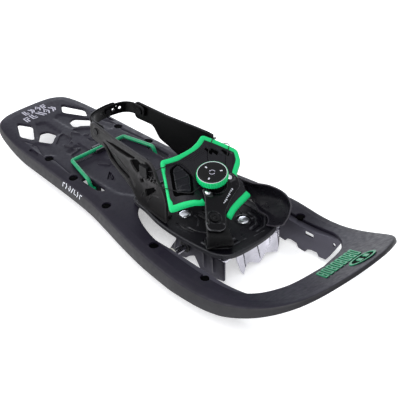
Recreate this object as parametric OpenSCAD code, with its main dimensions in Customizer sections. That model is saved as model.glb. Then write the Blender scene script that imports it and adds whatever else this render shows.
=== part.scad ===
// Moulded-deck snowshoe with a dial-and-lace binding.
// Millimetres. +Y points to the toe, +X to the wearer's right, +Z up, and Z = 0 is the
// surface under the rail teeth.

/* [Deck] */
// Length of the deck from tail to toe tip
deck_length = 592; // [584:1:600]
// Greatest width across the rims
deck_width = 207; // [200:1:214]
// Height of the deck's flat top above the ground
deck_top = 37; // [37:0.5:40]
// Thickness of the moulded deck
deck_t = 4; // [3:0.5:4.5]
// Depth of the side rim below the flat top
rim_depth = 18; // [14:1:20]
// Height that the toe tip rises above the flat top
toe_rise = 70; // [62:1:78]
// Height that the tail rises above the flat top
tail_rise = 3; // [0:0.5:4]

/* [Binding] */
// Distance from the deck's middle forward to the pivot axle
pivot_y = 82; // [81:0.5:83]
// Height of the pivot axle above the ground
pivot_z = 25; // [24.5:0.5:25.5]
// Radius of the pivot axle
axle_r = 4; // [3.5:0.5:4]
// Running clearance between the axle and its bushings
running_gap = 0.06; // [0.03:0.01:0.09]
// Forward slope of the instep hood, in degrees
hood_tilt = 26.57; // [26:0.5:27]
// Thickness of the side arms
arm_t = 3.5; // [3:0.5:4]

/* [Dial] */
// Outer radius of the dial's grip
dial_r = 18; // [17:0.5:18.5]
// Number of grip ridges round the dial
dial_ridges = 36; // [24:1:48]
// Slope of the dial towards the toe, in degrees
dial_tilt = 6.4; // [5.5:0.1:7]
// Slope of the dial towards the wearer's right, in degrees
dial_lean = 10.8; // [10:0.1:11.5]
// Radius of the lace
lace_r = 0.8; // [0.6:0.1:0.8]

/* [Heel lift] */
// Radius of the bail's wire
wire_r = 2.5; // [2:0.5:2.5]

/* [Hidden] */
$fn = 48;

deck_colour = [0.2, 0.19, 0.22];
black = [0.09, 0.09, 0.1];
green = [0.1, 0.68, 0.4];
steel = [0.62, 0.62, 0.64];

// ---- shared functions ----

// A point on the smooth curve through the points p, between p[i] and p[i + 1]
function bend(a, b, c, d, t) =
    0.5 * (2 * b + (c - a) * t + (2 * a - 5 * b + 4 * c - d) * t * t
           + (3 * b - a - 3 * c + d) * t * t * t);
function curve(p, steps) =
    let (last = len(p) - 1)
    concat([for (i = [0 : last - 1], s = [0 : steps - 1])
        bend(p[max(i - 1, 0)], p[i], p[i + 1], p[min(i + 2, last)], s / steps)], [p[last]]);
function unit(v) = v / norm(v);
function flip(p) = [-p[0], p[1]];
function reversed(p) = [for (i = [len(p) - 1 : -1 : 0]) p[i]];

// The two long sides of a strip of width t along an open plan line
function side_of(p, d) =
    [for (i = [0 : len(p) - 1])
        let (v = unit(p[min(i + 1, len(p) - 1)] - p[max(i - 1, 0)]))
        p[i] + d * [v[1], -v[0]]];
function strip(p, from, to) = concat(side_of(p, from), reversed(side_of(p, to)));

// A closed thick sheet over a grid of points, t thick and centred on the grid
module sheet(g, t) {
    rows = len(g);
    cols = len(g[0]);
    function normal(i, j) =
        unit(cross(g[min(i + 1, rows - 1)][j] - g[max(i - 1, 0)][j],
                   g[i][min(j + 1, cols - 1)] - g[i][max(j - 1, 0)]));
    upper = [for (i = [0 : rows - 1], j = [0 : cols - 1]) g[i][j] + normal(i, j) * t / 2];
    lower = [for (i = [0 : rows - 1], j = [0 : cols - 1]) g[i][j] - normal(i, j) * t / 2];
    n = rows * cols;
    function at(i, j) = i * cols + j;
    faces = concat(
        [for (i = [0 : rows - 2], j = [0 : cols - 2])
            [at(i, j), at(i, j + 1), at(i + 1, j + 1)]],
        [for (i = [0 : rows - 2], j = [0 : cols - 2])
            [at(i, j), at(i + 1, j + 1), at(i + 1, j)]],
        [for (i = [0 : rows - 2], j = [0 : cols - 2])
            [n + at(i, j), n + at(i + 1, j + 1), n + at(i, j + 1)]],
        [for (i = [0 : rows - 2], j = [0 : cols - 2])
            [n + at(i, j), n + at(i + 1, j), n + at(i + 1, j + 1)]],
        [for (i = [0 : rows - 2]) [at(i, 0), at(i + 1, 0), n + at(i + 1, 0), n + at(i, 0)]],
        [for (i = [0 : rows - 2])
            [at(i, cols - 1), n + at(i, cols - 1), n + at(i + 1, cols - 1), at(i + 1, cols - 1)]],
        [for (j = [0 : cols - 2]) [at(0, j), n + at(0, j), n + at(0, j + 1), at(0, j + 1)]],
        [for (j = [0 : cols - 2])
            [at(rows - 1, j), at(rows - 1, j + 1), n + at(rows - 1, j + 1), n + at(rows - 1, j)]]);
    polyhedron(concat(upper, lower), faces, convexity = 6);
}

// A tube swept along points, with flat ends
module tube(p, r, sides) {
    last = len(p) - 1;
    function along(i) = unit(p[min(i + 1, last)] - p[max(i - 1, 0)]);
    function across(i) = unit(cross(along(i), [0.05, 0.1, 1]));
    ring = [for (i = [0 : last], k = [0 : sides - 1])
        let (a = 360 * k / sides)
        p[i] + r * (cos(a) * across(i) + sin(a) * cross(along(i), across(i)))];
    faces = concat(
        [[for (k = [sides - 1 : -1 : 0]) k]],
        [[for (k = [0 : sides - 1]) last * sides + k]],
        [for (i = [0 : last - 1], k = [0 : sides - 1])
            [i * sides + k, i * sides + (k + 1) % sides,
             (i + 1) * sides + (k + 1) % sides, (i + 1) * sides + k]]);
    polyhedron(ring, faces, convexity = 6);
}

// A round bar between two points
module rod(from, to, r) {
    way = to - from;
    translate(from)
        rotate([0, acos(way[2] / norm(way)), atan2(way[1], way[0])]) cylinder(r = r, h = norm(way));
}

// A plan shape standing on its Y-Z outline: the outline is given as [Y, Z] points
module side_prism(outline, width) {
    translate([-width / 2, 0, 0])
        rotate([90, 0, 90])
            linear_extrude(width) polygon(outline);
}

module both_sides() {
    children();
    mirror([1, 0, 0]) children();
}

// ---- deck ----

tail_y = -294;
toe_y = tail_y + deck_length;
half_w = deck_width / 2;
toe_start = 150;
tail_start = -215;

// Rise of the deck's top above its flat part
function rise(y) = y > toe_start ? toe_rise * pow((y - toe_start) / (toe_y - toe_start), 1.95)
    : y < tail_start ? tail_rise * pow((y - tail_start) / (tail_y - tail_start), 1.3) : 0;
// Depth of the rim, which thins towards the toe and the tail
function rim(y) = y > 190 ? rim_depth - 11.5 * (y - 190) / (toe_y - 190)
    : y < -195 ? rim_depth - 11.5 * (y + 195) / (tail_y + 195) : rim_depth;

// Right half of the rim line, from the middle of the tail to the middle of the toe
rim_marks = [[0, tail_y], [22, tail_y + 0.6], [40, tail_y + 3.6], [55, -281], [63, -264],
             [68, -240], [72, -205], [74.5, -140], [77, -85], [80.5, -45], [87, -8], [93.5, 26],
             [100, 68], [half_w - 0.3, 108], [half_w, 128], [half_w - 3, 165], [95.5, 203],
             [90, 232], [82.5, 256], [72.5, 274], [58, 285.5], [38, toe_y - 5.2],
             [20, toe_y - 1.2], [0, toe_y]];
half_line = curve(rim_marks, 3);
half_n = len(half_line) - 1;
rim_line = concat(half_line, [for (i = [half_n - 1 : -1 : 1]) flip(half_line[i])]);
rim_n = len(rim_line);

function inward(i) =
    let (v = unit(rim_line[(i + 1) % rim_n] - rim_line[(i + rim_n - 1) % rim_n]))
    [-v[1], v[0]];
// A point of the deck d inside the rim line and drop below the top
function deck_point(i, d, drop) =
    let (p = rim_line[i] + d * inward(i))
    [p[0], p[1], deck_top + rise(p[1]) - drop];

// Section of the deck from the rim inwards: [distance inside the rim, share of the rim's depth]
deck_section = [[0, 1], [1.4, 0.5], [2.6, 0.22], [4.6, 0.07], [9, 0]];
inner_section = [[10.5, 0], [7, 0.1], [deck_t, 0.45], [deck_t - 1, 1]];

module deck_shell() {
    rings = concat(
        [for (s = deck_section, i = [0 : rim_n - 1])
            deck_point(i, s[0], s[1] * rim(rim_line[i][1]))],
        [for (s = inner_section, i = [0 : rim_n - 1])
            deck_point(i, s[0], s[1] == 1 ? rim(rim_line[i][1])
                                          : deck_t + s[1] * (rim(rim_line[i][1]) - deck_t))]);
    top_ring = len(deck_section) - 1;
    low_ring = top_ring + 1;
    ring_count = len(deck_section) + len(inner_section);
    function at(r, i) = r * rim_n + (i + rim_n) % rim_n;
    walls = [for (r = [0 : top_ring - 1], i = [0 : rim_n - 1])
        [at(r, i), at(r + 1, i), at(r + 1, i + 1), at(r, i + 1)]];
    under = [for (r = [low_ring : ring_count - 2], i = [0 : rim_n - 1])
        [at(r, i), at(r + 1, i), at(r + 1, i + 1), at(r, i + 1)]];
    edge = [for (i = [0 : rim_n - 1])
        [at(ring_count - 1, i), at(0, i), at(0, i + 1), at(ring_count - 1, i + 1)]];
    top = [for (i = [0 : half_n - 1])
        [at(top_ring, i), at(top_ring, -i), at(top_ring, -i - 1), at(top_ring, i + 1)]];
    bottom = [for (i = [0 : half_n - 1])
        [at(low_ring, i), at(low_ring, i + 1), at(low_ring, -i - 1), at(low_ring, -i)]];
    polyhedron(rings, concat(walls, under, edge, top, bottom), convexity = 8);
}

opening_marks = [[0, -8], [30, -6], [50, 6], [63, 30], [71, 60], [74, 95], [74.5, 150],
                 [72.5, 190], [66, 208], [54, 222], [36, 233], [0, 240]];
opening_half = curve(opening_marks, 3);
opening_line = concat(opening_half,
    [for (i = [len(opening_half) - 2 : -1 : 1]) flip(opening_half[i])]);
rear_window = [[37, -262], [25, -243], [44.5, -211], [53.5, -230]];
front_window = [[28, -221], [18, -218], [14, -204], [33, -187], [43, -204]];
rivet_spots = [[57, -160], [61.5, -103], [69, -29], [79, 67], [76.5, 146]];
bail_slot = [[48.5, -92], [58, -92], [58, -60], [52, -54], [48.5, -57]];

module deck() {
    color(deck_colour)
        difference() {
            deck_shell();
            linear_extrude(150) polygon(opening_line);
            both_sides() {
                linear_extrude(80) polygon(rear_window);
                linear_extrude(80) polygon(front_window);
                linear_extrude(80) polygon(bail_slot);
                for (s = rivet_spots)
                    translate([s[0], s[1], deck_top + rise(s[1]) - 2.4]) cylinder(r = 5.5, h = 20);
                for (s = rivet_spots)
                    translate([s[0], s[1], 0]) cylinder(r = 2.6, h = 60);
            }
        }
}

// ---- rails ----

rail_marks = [[50, -172], [56, -105], [64.2, -30], [70, 30], [68, 90], [67, 215]];
rail_line = curve(rail_marks, 6);
rail_base = deck_top - deck_t - 0.2;
flange_t = 1.8;
tooth_pitch = 30.5;
tooth_marks = [[0, 6.5], [9, 6], [12, 1], [22, 0], [26, 5]];
function tooth_edge() =
    [for (k = [0 : 11], m = tooth_marks)
        let (y = -163 + k * tooth_pitch + m[0]) [y, m[1] + rise(y)]];

module rail() {
    rail_top = [for (y = [216 : -6 : -174]) [y, rail_base + rise(y)]];
    flange_low = [for (y = [-174 : 6 : 216]) [y, rail_base + rise(y) - flange_t]];
    difference() {
        union() {
            intersection() {
                linear_extrude(80) polygon(strip(rail_line, -1, 1));
                side_prism(concat([[-174, 22]], tooth_edge(), [[208, 20 + rise(208)]], rail_top), 300);
            }
            intersection() {
                linear_extrude(80) polygon(concat(side_of(rail_line, 0),
                    reversed([for (p = rail_line) [lookup(p[1], flange_edge), p[1]]])));
                side_prism(concat(flange_low, rail_top), 300);
            }
        }
        for (s = rivet_spots)
            translate([s[0], s[1], 0]) cylinder(r = 2.6, h = 60);
        translate([0, pivot_y, pivot_z]) rotate([0, 90, 0]) cylinder(r = 6, h = 100);
        translate([40, 162, 25.4]) rotate([3, 0, 0]) cube([50, 13, 5.2]);
        translate([40, 204, 33.5]) rotate([0, 90, 0]) cylinder(r = 2.2, h = 50);
    }
}
// Outer edge of the rail's flange, as [Y, X] pairs
flange_edge = [[-175, 60.5], [-105, 62.5], [-60, 66], [-30, 72], [0, 76], [30, 81.5], [90, 86],
               [150, 86], [216, 78]];

module right_rail() { color([0.36, 0.35, 0.4]) rail(); }
module left_rail() { color([0.36, 0.35, 0.4]) mirror([1, 0, 0]) rail(); }

module rail_rivets() {
    color(steel)
        both_sides()
            for (s = rivet_spots)
                translate([s[0], s[1], deck_top + rise(s[1])]) {
                    translate([0, 0, -2.3]) cylinder(r = 4.2, h = 1.5);
                    translate([0, 0, -8.6]) cylinder(r = 2.5, h = 7);
                    translate([0, 0, -8.6]) cylinder(r = 3.6, h = 1.8);
                }
}

// ---- pivot ----

module pivot_axle() {
    color(steel)
        translate([-76, pivot_y, pivot_z]) rotate([0, 90, 0]) cylinder(r = axle_r, h = 152);
}

module axle_bushings() {
    color([0.85, 0.85, 0.82])
        both_sides()
            translate([65.4, pivot_y, pivot_z]) rotate([0, 90, 0])
                difference() {
                    union() {
                        translate([0, 0, -0.8]) cylinder(r = 7.6, h = 1.5);
                        cylinder(r = 5.95, h = 7);
                    }
                    translate([0, 0, -2]) cylinder(r = axle_r + running_gap, h = 12);
                }
}

module axle_clips() {
    color(steel)
        both_sides()
            translate([73, pivot_y, pivot_z]) rotate([0, 90, 0])
                difference() {
                    cylinder(r = 5.8, h = 1);
                    translate([0, 0, -1]) cylinder(r = axle_r + 0.03, h = 3);
                }
}

// ---- crampon and footbed ----

plate_z = deck_top - 1.5;
foot_z = deck_top + 0.6;
foot_top = 43;
crampon_x = 43;
crampon_t = 2;
front_y = 141;
crampon_side = [[66, plate_z + crampon_t], [front_y, plate_z + crampon_t], [front_y, 9.5],
                [132, 6.5], [117.5, 4.5], [107, 2], [102, 10], [96, 19], [91, 16], [87, 13],
                [81, 7], [60, 2], [54.5, 6], [60, 16], [65.5, 25]];
crampon_front = [[-45, plate_z + crampon_t], [-45, 11], [-43, 1.5], [-38, 4.5], [-22, 12.5],
                 [-15.5, 4.6], [-12.5, 3], [-4.3, 8], [4.1, 13.5], [8.5, 14], [13.6, 0.8],
                 [17, 6], [25, 28], [27, plate_z + crampon_t]];
crampon_ribs = [[[18, 32], [12.8, 9]], [[-3, 32], [-11, 10]], [[-23, 33], [-24.5, 25]]];

module toe_crampon() {
    color(steel)
        difference() {
            union() {
                translate([0, 0, plate_z])
                    linear_extrude(crampon_t)
                        polygon([[-45, 30], [45, 30], [45, front_y + 2], [-45, front_y + 2]]);
                both_sides()
                    translate([crampon_x + crampon_t / 2, 0, 0]) side_prism(crampon_side, crampon_t);
                translate([0, front_y + crampon_t, 0]) rotate([90, 0, 0])
                    linear_extrude(crampon_t) polygon(crampon_front);
                // Stiffening ribs pressed into the front plate
                for (r = crampon_ribs)
                    rod([r[0][0], front_y + crampon_t, r[0][1]],
                        [r[1][0], front_y + crampon_t, r[1][1]], 1.4);
            }
            translate([-60, pivot_y, pivot_z]) rotate([0, 90, 0]) cylinder(r = 6, h = 120);
            for (s = footbed_spots)
                translate([s[0], s[1], 0]) cylinder(r = 2.6, h = 60);
            for (s = concat(toe_spots, arm_spots, [for (a = arm_spots) flip(a)]))
                translate([s[0], s[1], 30]) cylinder(r = 3.4, h = 60);
            // Lightening window in the plate
            translate([-12, 56, 30]) cube([24, 40, 10]);
        }
}

module crampon_bushings() {
    color([0.85, 0.85, 0.82])
        both_sides()
            translate([42.2, pivot_y, pivot_z]) rotate([0, 90, 0])
                difference() {
                    union() {
                        cylinder(r = 5.95, h = 4.4);
                        translate([0, 0, 3]) cylinder(r = 7.4, h = 1.6);
                    }
                    translate([0, 0, -2]) cylinder(r = axle_r + running_gap, h = 12);
                }
}

footbed_spots = [[20, 54], [-20, 54], [20, 109], [-20, 109]];
foot_marks = [[38, -14], [45, -6], [47, 16], [52, 40], [54, 66], [53, 92], [50, 120], [47, 132],
              [40, 142], [30, 147], [14, 149], [0, 149.5]];
foot_line = concat(foot_marks, [for (i = [len(foot_marks) - 2 : -1 : 0]) flip(foot_marks[i])]);

module footbed() {
    color(black)
        difference() {
            union() {
                translate([0, 0, foot_z]) linear_extrude(foot_top - foot_z) polygon(foot_line);
                // Raised tread under the middle of the boot
                translate([-28, -6, foot_top - 1]) cube([56, 48, 1.5]);
            }
            for (s = footbed_spots)
                translate([s[0], s[1], 0]) {
                    cylinder(r = 2.6, h = 60);
                    translate([0, 0, foot_top - 1.2]) cylinder(r = 8, h = 5);
                }
            for (s = concat(arm_spots, [for (a = arm_spots) flip(a)], toe_spots))
                translate([s[0], s[1], 0]) cylinder(r = 1.6, h = 60);
            // Slots that shed snow under the ball of the foot
            for (x = [-9, 0, 9])
                translate([x - 1.5, 62, 30]) cube([3, 34, 20]);
        }
}

module footbed_rivets() {
    color([0.8, 0.84, 0.86])
        for (s = footbed_spots)
            translate([s[0], s[1], 0]) {
                translate([0, 0, foot_top - 1.1]) cylinder(r1 = 7, r2 = 5.4, h = 1.3);
                translate([0, 0, plate_z - 1.6]) cylinder(r = 2.5, h = foot_top - plate_z + 1);
                translate([0, 0, plate_z - 2]) cylinder(r = 4.4, h = 1.9);
            }
}

// ---- side arms ----

arm_line = [[33, -92], [46, 52]];
arm_spots = [[36.5, 16], [38, 40]];
arm_outline = [[-90, 88], [-93, 91], [-93, 108], [-89, 111.5], [-40, 110], [10, 112], [27, 112],
               [34, 108], [40, 96], [52, 84], [56, 72], [56, foot_top + 0.2], [2, foot_top + 0.2],
               [-12, 57], [-34, 67], [-52, 73], [-62, 88]];
// Hollows of the truss on the outer face, as [Y, Z] outlines
arm_hollows = [[[-60, 92], [-60, 104], [-34, 104], [-48, 84]],
               [[-40, 82], [-28, 102], [-12, 102], [-22, 74]],
               [[-15, 72], [-6, 102], [14, 104], [-2, 66]],
               [[2, 62], [18, 104], [24, 94], [10, 56]],
               [[14, 54], [27, 88], [40, 84], [44, 54]]];

module arm() {
    face = [for (y = [-100, 60]) [33 + (y + 92) * 13 / 144, y]];
    difference() {
        union() {
            intersection() {
                linear_extrude(130) polygon(strip(face, 0, arm_t));
                side_prism(arm_outline, 300);
            }
            // Foot that lies on the footbed
            translate([0, 0, foot_top + 0.2])
                linear_extrude(2.4) polygon([[32, 8], [43, 8], [46.5, 48], [33, 48]]);
        }
        for (h = arm_hollows)
            intersection() {
                linear_extrude(130) polygon(strip(face, arm_t - 1.4, arm_t + 4));
                side_prism(h, 300);
            }
        translate([20, strap_pivot[0], strap_pivot[1]]) rotate([0, 90, 0]) cylinder(r = 2.6, h = 30);
        for (s = arm_spots)
            translate([s[0], s[1], 0]) cylinder(r = 1.6, h = 60);
    }
}
module right_arm() { color([0.2, 0.19, 0.2]) arm(); }
module left_arm() { color(black) mirror([1, 0, 0]) arm(); }

module arm_rivets() {
    color([0.3, 0.3, 0.32])
        both_sides()
            for (s = arm_spots)
                translate([s[0], s[1], 0]) {
                    translate([0, 0, foot_top + 2.7]) cylinder(r = 2.8, h = 1.3);
                    translate([0, 0, foot_z - 0.2]) cylinder(r = 1.5, h = foot_top - foot_z + 3.2);
                }
}

guide_y = 22;
guide_holes = [97, 103];

// A moulded block on each arm that turns the lace back
module lace_guides() {
    color(black)
        both_sides()
            difference() {
                translate([47.6, guide_y - 6, 93]) cube([4.8, 12, 14]);
                for (z = guide_holes)
                    translate([49.8, guide_y - 3, z]) rotate([-90, 0, 0]) cylinder(r = 1.7, h = 20);
                translate([49.8, guide_y - 3, 95.3]) cylinder(r = 1.7, h = 9.4);
            }
}

// ---- instep hood ----

hood_y = 72;
hood_z = 90.5;
near_drop_from = 32;
function hood_drop(x) = x <= near_drop_from ? 0 : 0.107 * pow(x - near_drop_from, 1.585);
// Height of the hood's upper face
function hood_height(x, y) = hood_z - (y - hood_y) * tan(hood_tilt) - hood_drop(x);

hood_line = [[35, 31], [24, 33.5], [10, 35], [-10, 34.5], [-24, 31], [-34, 26.5], [-47, 42],
             [-58, 58], [-58.5, 62], [-52, 73], [-33, 84], [-33.5, 107], [-10, 112.5], [12, 119.5],
             [7, 105], [16, 95], [28, 92.5], [40, 85], [53, 75], [57, 70], [50, 58], [43, 46]];
rim_w = 5.5;

module hood_slab(up, t) {
    xs = [-62, -45, -28, -11, 6, 18, 28, 32, 35, 38, 41, 44, 47, 50, 53, 56, 59];
    ys = [for (k = [0 : 8]) 22 + k * 12.5];
    sheet([for (x = xs) [for (y = ys) [x, y, hood_height(x, y) + up - t / 2]]], t);
}
module main_rim_plan() {
    intersection() {
        difference() {
            polygon(hood_line);
            offset(delta = -rim_w) polygon(hood_line);
        }
        polygon([[24, 96], [60, 96], [64, 20], [-64, 20], [-64, 80], [-37, 89], [-28, 82], [0, 60]]);
    }
}
module front_rim_plan() {
    intersection() {
        difference() {
            polygon(hood_line);
            offset(delta = -rim_w - 0.5) polygon(hood_line);
        }
        polygon([[-36, 98], [-30, 98], [-4, 104], [11, 112], [15, 121], [-36, 121]]);
    }
}
module instep_hood() {
    color(black)
        difference() {
            intersection() {
                hood_slab(0, 3.4);
                linear_extrude(200) polygon(hood_line);
            }
            linear_extrude(200) {
                offset(delta = 0.15) main_rim_plan();
                offset(delta = 0.15) front_rim_plan();
            }
            // Seat of the insert
            hood_frame(-1.6) linear_extrude(10) offset(delta = 0.2) polygon(insert_line);
        }
}
module hood_rim() {
    color(green)
        intersection() {
            hood_slab(1.2, 5.6);
            linear_extrude(200) main_rim_plan();
        }
}
module front_rim() {
    color(green)
        intersection() {
            hood_slab(1.2, 5.6);
            linear_extrude(200) front_rim_plan();
        }
}

// Frame on the hood's flat middle: local X across, local Y down the slope, local Z out
module hood_frame(up) {
    translate([0, hood_y, hood_z]) rotate([-hood_tilt, 0, 0]) translate([0, 0, up]) children();
}
// Frame on the dial's own axis, whose foot stands a little above the hood
dial_foot = [-1, 78.7, 90.2];
module dial_frame(up) {
    translate(dial_foot) rotate([-dial_tilt, dial_lean, 0]) translate([0, 0, up]) children();
}
// Point at radius r and angle a round the dial's axis
function on_dial(a, r, up) =
    dial_foot + r * cos(a) * [cos(dial_lean), 0, -sin(dial_lean)]
    + r * sin(a) * [-sin(dial_tilt) * sin(dial_lean), cos(dial_tilt), -sin(dial_tilt) * cos(dial_lean)]
    + up * [cos(dial_tilt) * sin(dial_lean), sin(dial_tilt), cos(dial_tilt) * cos(dial_lean)];
function on_slope(p) = [p[0], (p[1] - hood_y) / cos(hood_tilt)];

insert_line = [for (p = [[27, 47], [15, 49], [17, 61], [23, 73], [30, 74], [30, 60]]) on_slope(p)];
module hood_insert() {
    color([0.16, 0.15, 0.19])
        hood_frame(-1.5)
            difference() {
                linear_extrude(3) polygon(insert_line);
                translate([0, 0, 1.6]) linear_extrude(5) offset(delta = -2) polygon(insert_line);
            }
}

tongue_line = [for (p = [[18, 80], [24, 91], [45, 114], [46, 119], [34, 127], [26, 126],
                         [12, 116], [-3, 106], [-25, 98], [-31, 85], [-28, 78], [-8, 76],
                         [8, 78]]) on_slope(p)];
rivet_seats = [for (p = [[15.2, 85.6], [-21.8, 83]]) on_slope(p)];
button_seat = on_slope([31, 112]);
tongue_t = 2.6;

module tongue() {
    color(black)
        difference() {
            hood_frame(1.5) linear_extrude(tongue_t) polygon(tongue_line);
            dial_frame(-15) cylinder(r = base_r + 0.4, h = 30);
            for (s = rivet_seats)
                hood_frame(tongue_t + 0.3) translate([s[0], s[1], 0]) cylinder(r = 3.4, h = 5);
            hood_frame(0.5) translate([button_seat[0], button_seat[1], 0]) cylinder(r = 2.6, h = 8);
        }
}
module hood_rivets() {
    color([0.8, 0.82, 0.82])
        hood_frame(1.5 + tongue_t - 1.1)
            for (s = rivet_seats)
                translate([s[0], s[1], 0]) cylinder(r1 = 3.2, r2 = 2.5, h = 2.2);
}
module tongue_button() {
    color([0.06, 0.06, 0.06])
        hood_frame(1.6 + tongue_t)
            translate([button_seat[0], button_seat[1], 0])
                difference() {
                    union() {
                        cylinder(r = 5.5, h = 1.8);
                        translate([0, 0, -6.4]) cylinder(r = 2.5, h = 7);
                    }
                    translate([0, 0, 1]) cylinder(r = 2.2, h = 3);
                }
}

// ---- toe strap and toe cup ----

// Rows of the strap from the footbed up and back under the tongue: right edge, left edge
strap_rows = [[[40, 108, 44.6], [18, 124, 44.6]], [[46.5, 117, 44.8], [24.5, 133, 44.8]],
              [[50, 122, 47.5], [28, 138, 47.5]], [[50, 123, 53], [28, 138.5, 53]],
              [[48.5, 121, 61], [27, 134, 59.5]], [[44, 116, 66.6], [23, 125.5, 62.1]],
              [[40, 110, 70.2], [18, 118, 66.2]], [[35, 104, 73.2], [14, 111, 69.7]]];
module toe_strap() {
    rows = curve(strap_rows, 4);
    color([0.07, 0.07, 0.075])
        difference() {
            sheet([for (r = rows) [for (s = [0 : 4]) r[0] + (r[1] - r[0]) * s / 4]], 2.2);
            hood_frame(-12) translate([button_seat[0], button_seat[1], 0]) cylinder(r = 2.7, h = 30);
        }
}

// Rows of the cup from the hood forward round the toes: foot edge, middle, upper edge
cup_rows = [[[-48.5, 84, 56], [-48, 84, 62], [-44, 84, 72], [-37, 84, 80]],
            [[-49.5, 98, 46.5], [-52, 98, 50], [-53, 98, 64], [-42, 99, 78]],
            [[-43, 112, 44.8], [-50.5, 114, 45.4], [-58, 115, 60], [-54, 116, 76]],
            [[-42, 125, 44.8], [-49.5, 127, 45.4], [-60, 130, 58], [-60, 133, 71.5]],
            [[-39, 130, 44.8], [-46, 137, 45.4], [-57, 143, 56], [-56, 147, 66]],
            [[-34, 135, 44.8], [-40, 143, 45.4], [-47, 150, 51], [-47, 153, 57]],
            [[-29, 137, 44.8], [-33, 145.5, 45.4], [-37, 151, 47.5], [-38, 153.5, 49.5]]];
module toe_cup() {
    rows = curve(cup_rows, 3);
    color([0.1, 0.1, 0.11])
        sheet([for (r = rows) curve(r, 4)], 2);
}

toe_spots = [[40.5, 117], [27, 127], [-39.5, 128], [-48.6, 117]];
module toe_rivets() {
    color([0.3, 0.3, 0.32])
        for (s = toe_spots)
            translate([s[0], s[1], foot_z - 2.1]) {
                cylinder(r = 3, h = 2);
                cylinder(r = 1.5, h = 6);
            }
}

// ---- dial ----

module dial_base() {
    color([0.05, 0.05, 0.05])
        difference() {
            dial_frame(-9) cylinder(r = base_r, h = 14.3);
            dial_frame(1.5) cylinder(r = base_r - 1.6, h = 8);
            dial_frame(-0.8) cylinder(r = 2.1, h = 4);
            // Hood under the base
            hood_frame(-29.7) cylinder(r = 60, h = 30);
            for (a = lace_exits)
                dial_frame(lace_up) rotate([0, 90, a]) translate([0, 0, 8.5]) cylinder(r = 1.3, h = 9);
        }
}
base_r = dial_r - 4.5;
lace_exits = [-30, -6, 190, 214];
lace_up = 3.3;

module dial_post() {
    color(steel)
        dial_frame(0)
            union() {
                translate([0, 0, -0.6]) cylinder(r = 2, h = 9.8);
                translate([0, 0, 9]) cylinder(r = 3.4, h = 0.8);
            }
}
module dial_spool() {
    color([0.75, 0.75, 0.72])
        dial_frame(1.8)
            difference() {
                cylinder(r = 10, h = 3);
                rotate_extrude() translate([11, 1.5]) circle(r = 2.2, $fn = 24);
                translate([0, 0, -1]) cylinder(r = 2 + running_gap, h = 8);
            }
}
module dial_core() {
    color([0.7, 0.7, 0.7])
        dial_frame(5.6)
            difference() {
                cylinder(r = 12.5, h = 1.2);
                translate([0, 0, -1]) cylinder(r = 2 + running_gap, h = 4);
            }
}
module dial_ring() {
    color(green)
        dial_frame(5.5)
            difference() {
                union() {
                    cylinder(r = dial_r - 0.6, h = 8);
                    for (k = [0 : dial_ridges - 1])
                        rotate([0, 0, 360 * k / dial_ridges])
                            translate([dial_r - 0.7, -0.6, 0.4]) cube([0.9, 1.2, 7]);
                }
                translate([0, 0, -1]) cylinder(r = 14, h = 2.6);
                translate([0, 0, -1]) cylinder(r = 4, h = 12);
                translate([0, 0, 4.4]) cylinder(r = dial_r - 1.7, h = 8);
            }
}
module dial_cap() {
    color([0.04, 0.04, 0.04])
        dial_frame(10)
            union() {
                cylinder(r = dial_r - 1.8, h = 3);
                translate([0, 0, 3]) cylinder(r1 = dial_r - 1.8, r2 = dial_r - 2.9, h = 0.6);
            }
}

// ---- lace ----

function over_hood(x, y, up) = [x, y, hood_height(x, y) + up];
// Right strands from the dial out to the guide and back; the left ones mirror the shape
right_lace = [on_dial(-30, 13.9, lace_up), over_hood(14.2, 69.3, 1.15), over_hood(14.4, 64, 1.5),
              over_hood(12.5, 56, 1.8), over_hood(14, 46, 1.7),
              over_hood(20, 42, 1.7), over_hood(31, 40, 2.4), over_hood(37, 40.5, 3), [42, 41, 109.5],
              [47, 40, 108.5], [50.6, 34, 105.5], [49.8, 28, 103.2], [49.8, 20.5, 103],
              [49.8, 19.2, 101.5], [49.8, 19.2, 98.5], [49.8, 20.5, 97], [49.8, 29, 97],
              [50.6, 38, 95.5], [51.5, 50, 93],
              over_hood(46.5, 60, 3.6), over_hood(41, 69, 2.6), over_hood(32, 77.5, 1.7),
              over_hood(22, 77.4, 1.9), over_hood(17, 77.4, 2.5), on_dial(-6, 13.9, lace_up)];
left_lace = [on_dial(214, 13.9, lace_up), over_hood(-18, 55, 1.7), over_hood(-27, 46, 1.7),
             over_hood(-36, 40, 3), over_hood(-40, 38, 3.6), over_hood(-43.5, 37.5, 3.6),
             [-47.5, 38, 108.8], [-50.6, 33, 105.5], [-49.8, 28, 103.2],
             [-49.8, 20.5, 103], [-49.8, 19.2, 101.5],
             [-49.8, 19.2, 98.5], [-49.8, 20.5, 97], [-49.8, 27, 97], [-52.5, 36, 99.5],
             [-54.5, 46, 105.6], over_hood(-52, 52, 3.8), over_hood(-46, 57, 3.4),
             over_hood(-39, 63, 2), over_hood(-30, 71, 1.7), over_hood(-21, 74.5, 3.8),
             on_dial(190, 13.9, lace_up)];
module lace() {
    color([0.15, 0.15, 0.16]) {
        tube(curve(right_lace, 2), lace_r, 8);
        tube(curve(left_lace, 2), lace_r, 8);
    }
}

// ---- heel strap ----

strap_pivot = [-80, 103];
strap_half = [[31.4, -72], [31.4, -88], [30.6, -94], [26, -101], [17, -105.5], [0, -107.5]];
strap_line = concat(strap_half, [for (i = [len(strap_half) - 2 : -1 : 0]) flip(strap_half[i])]);
strap_path = curve(strap_line, 4);
strap_z = 95.5;
strap_h = 15;

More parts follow.
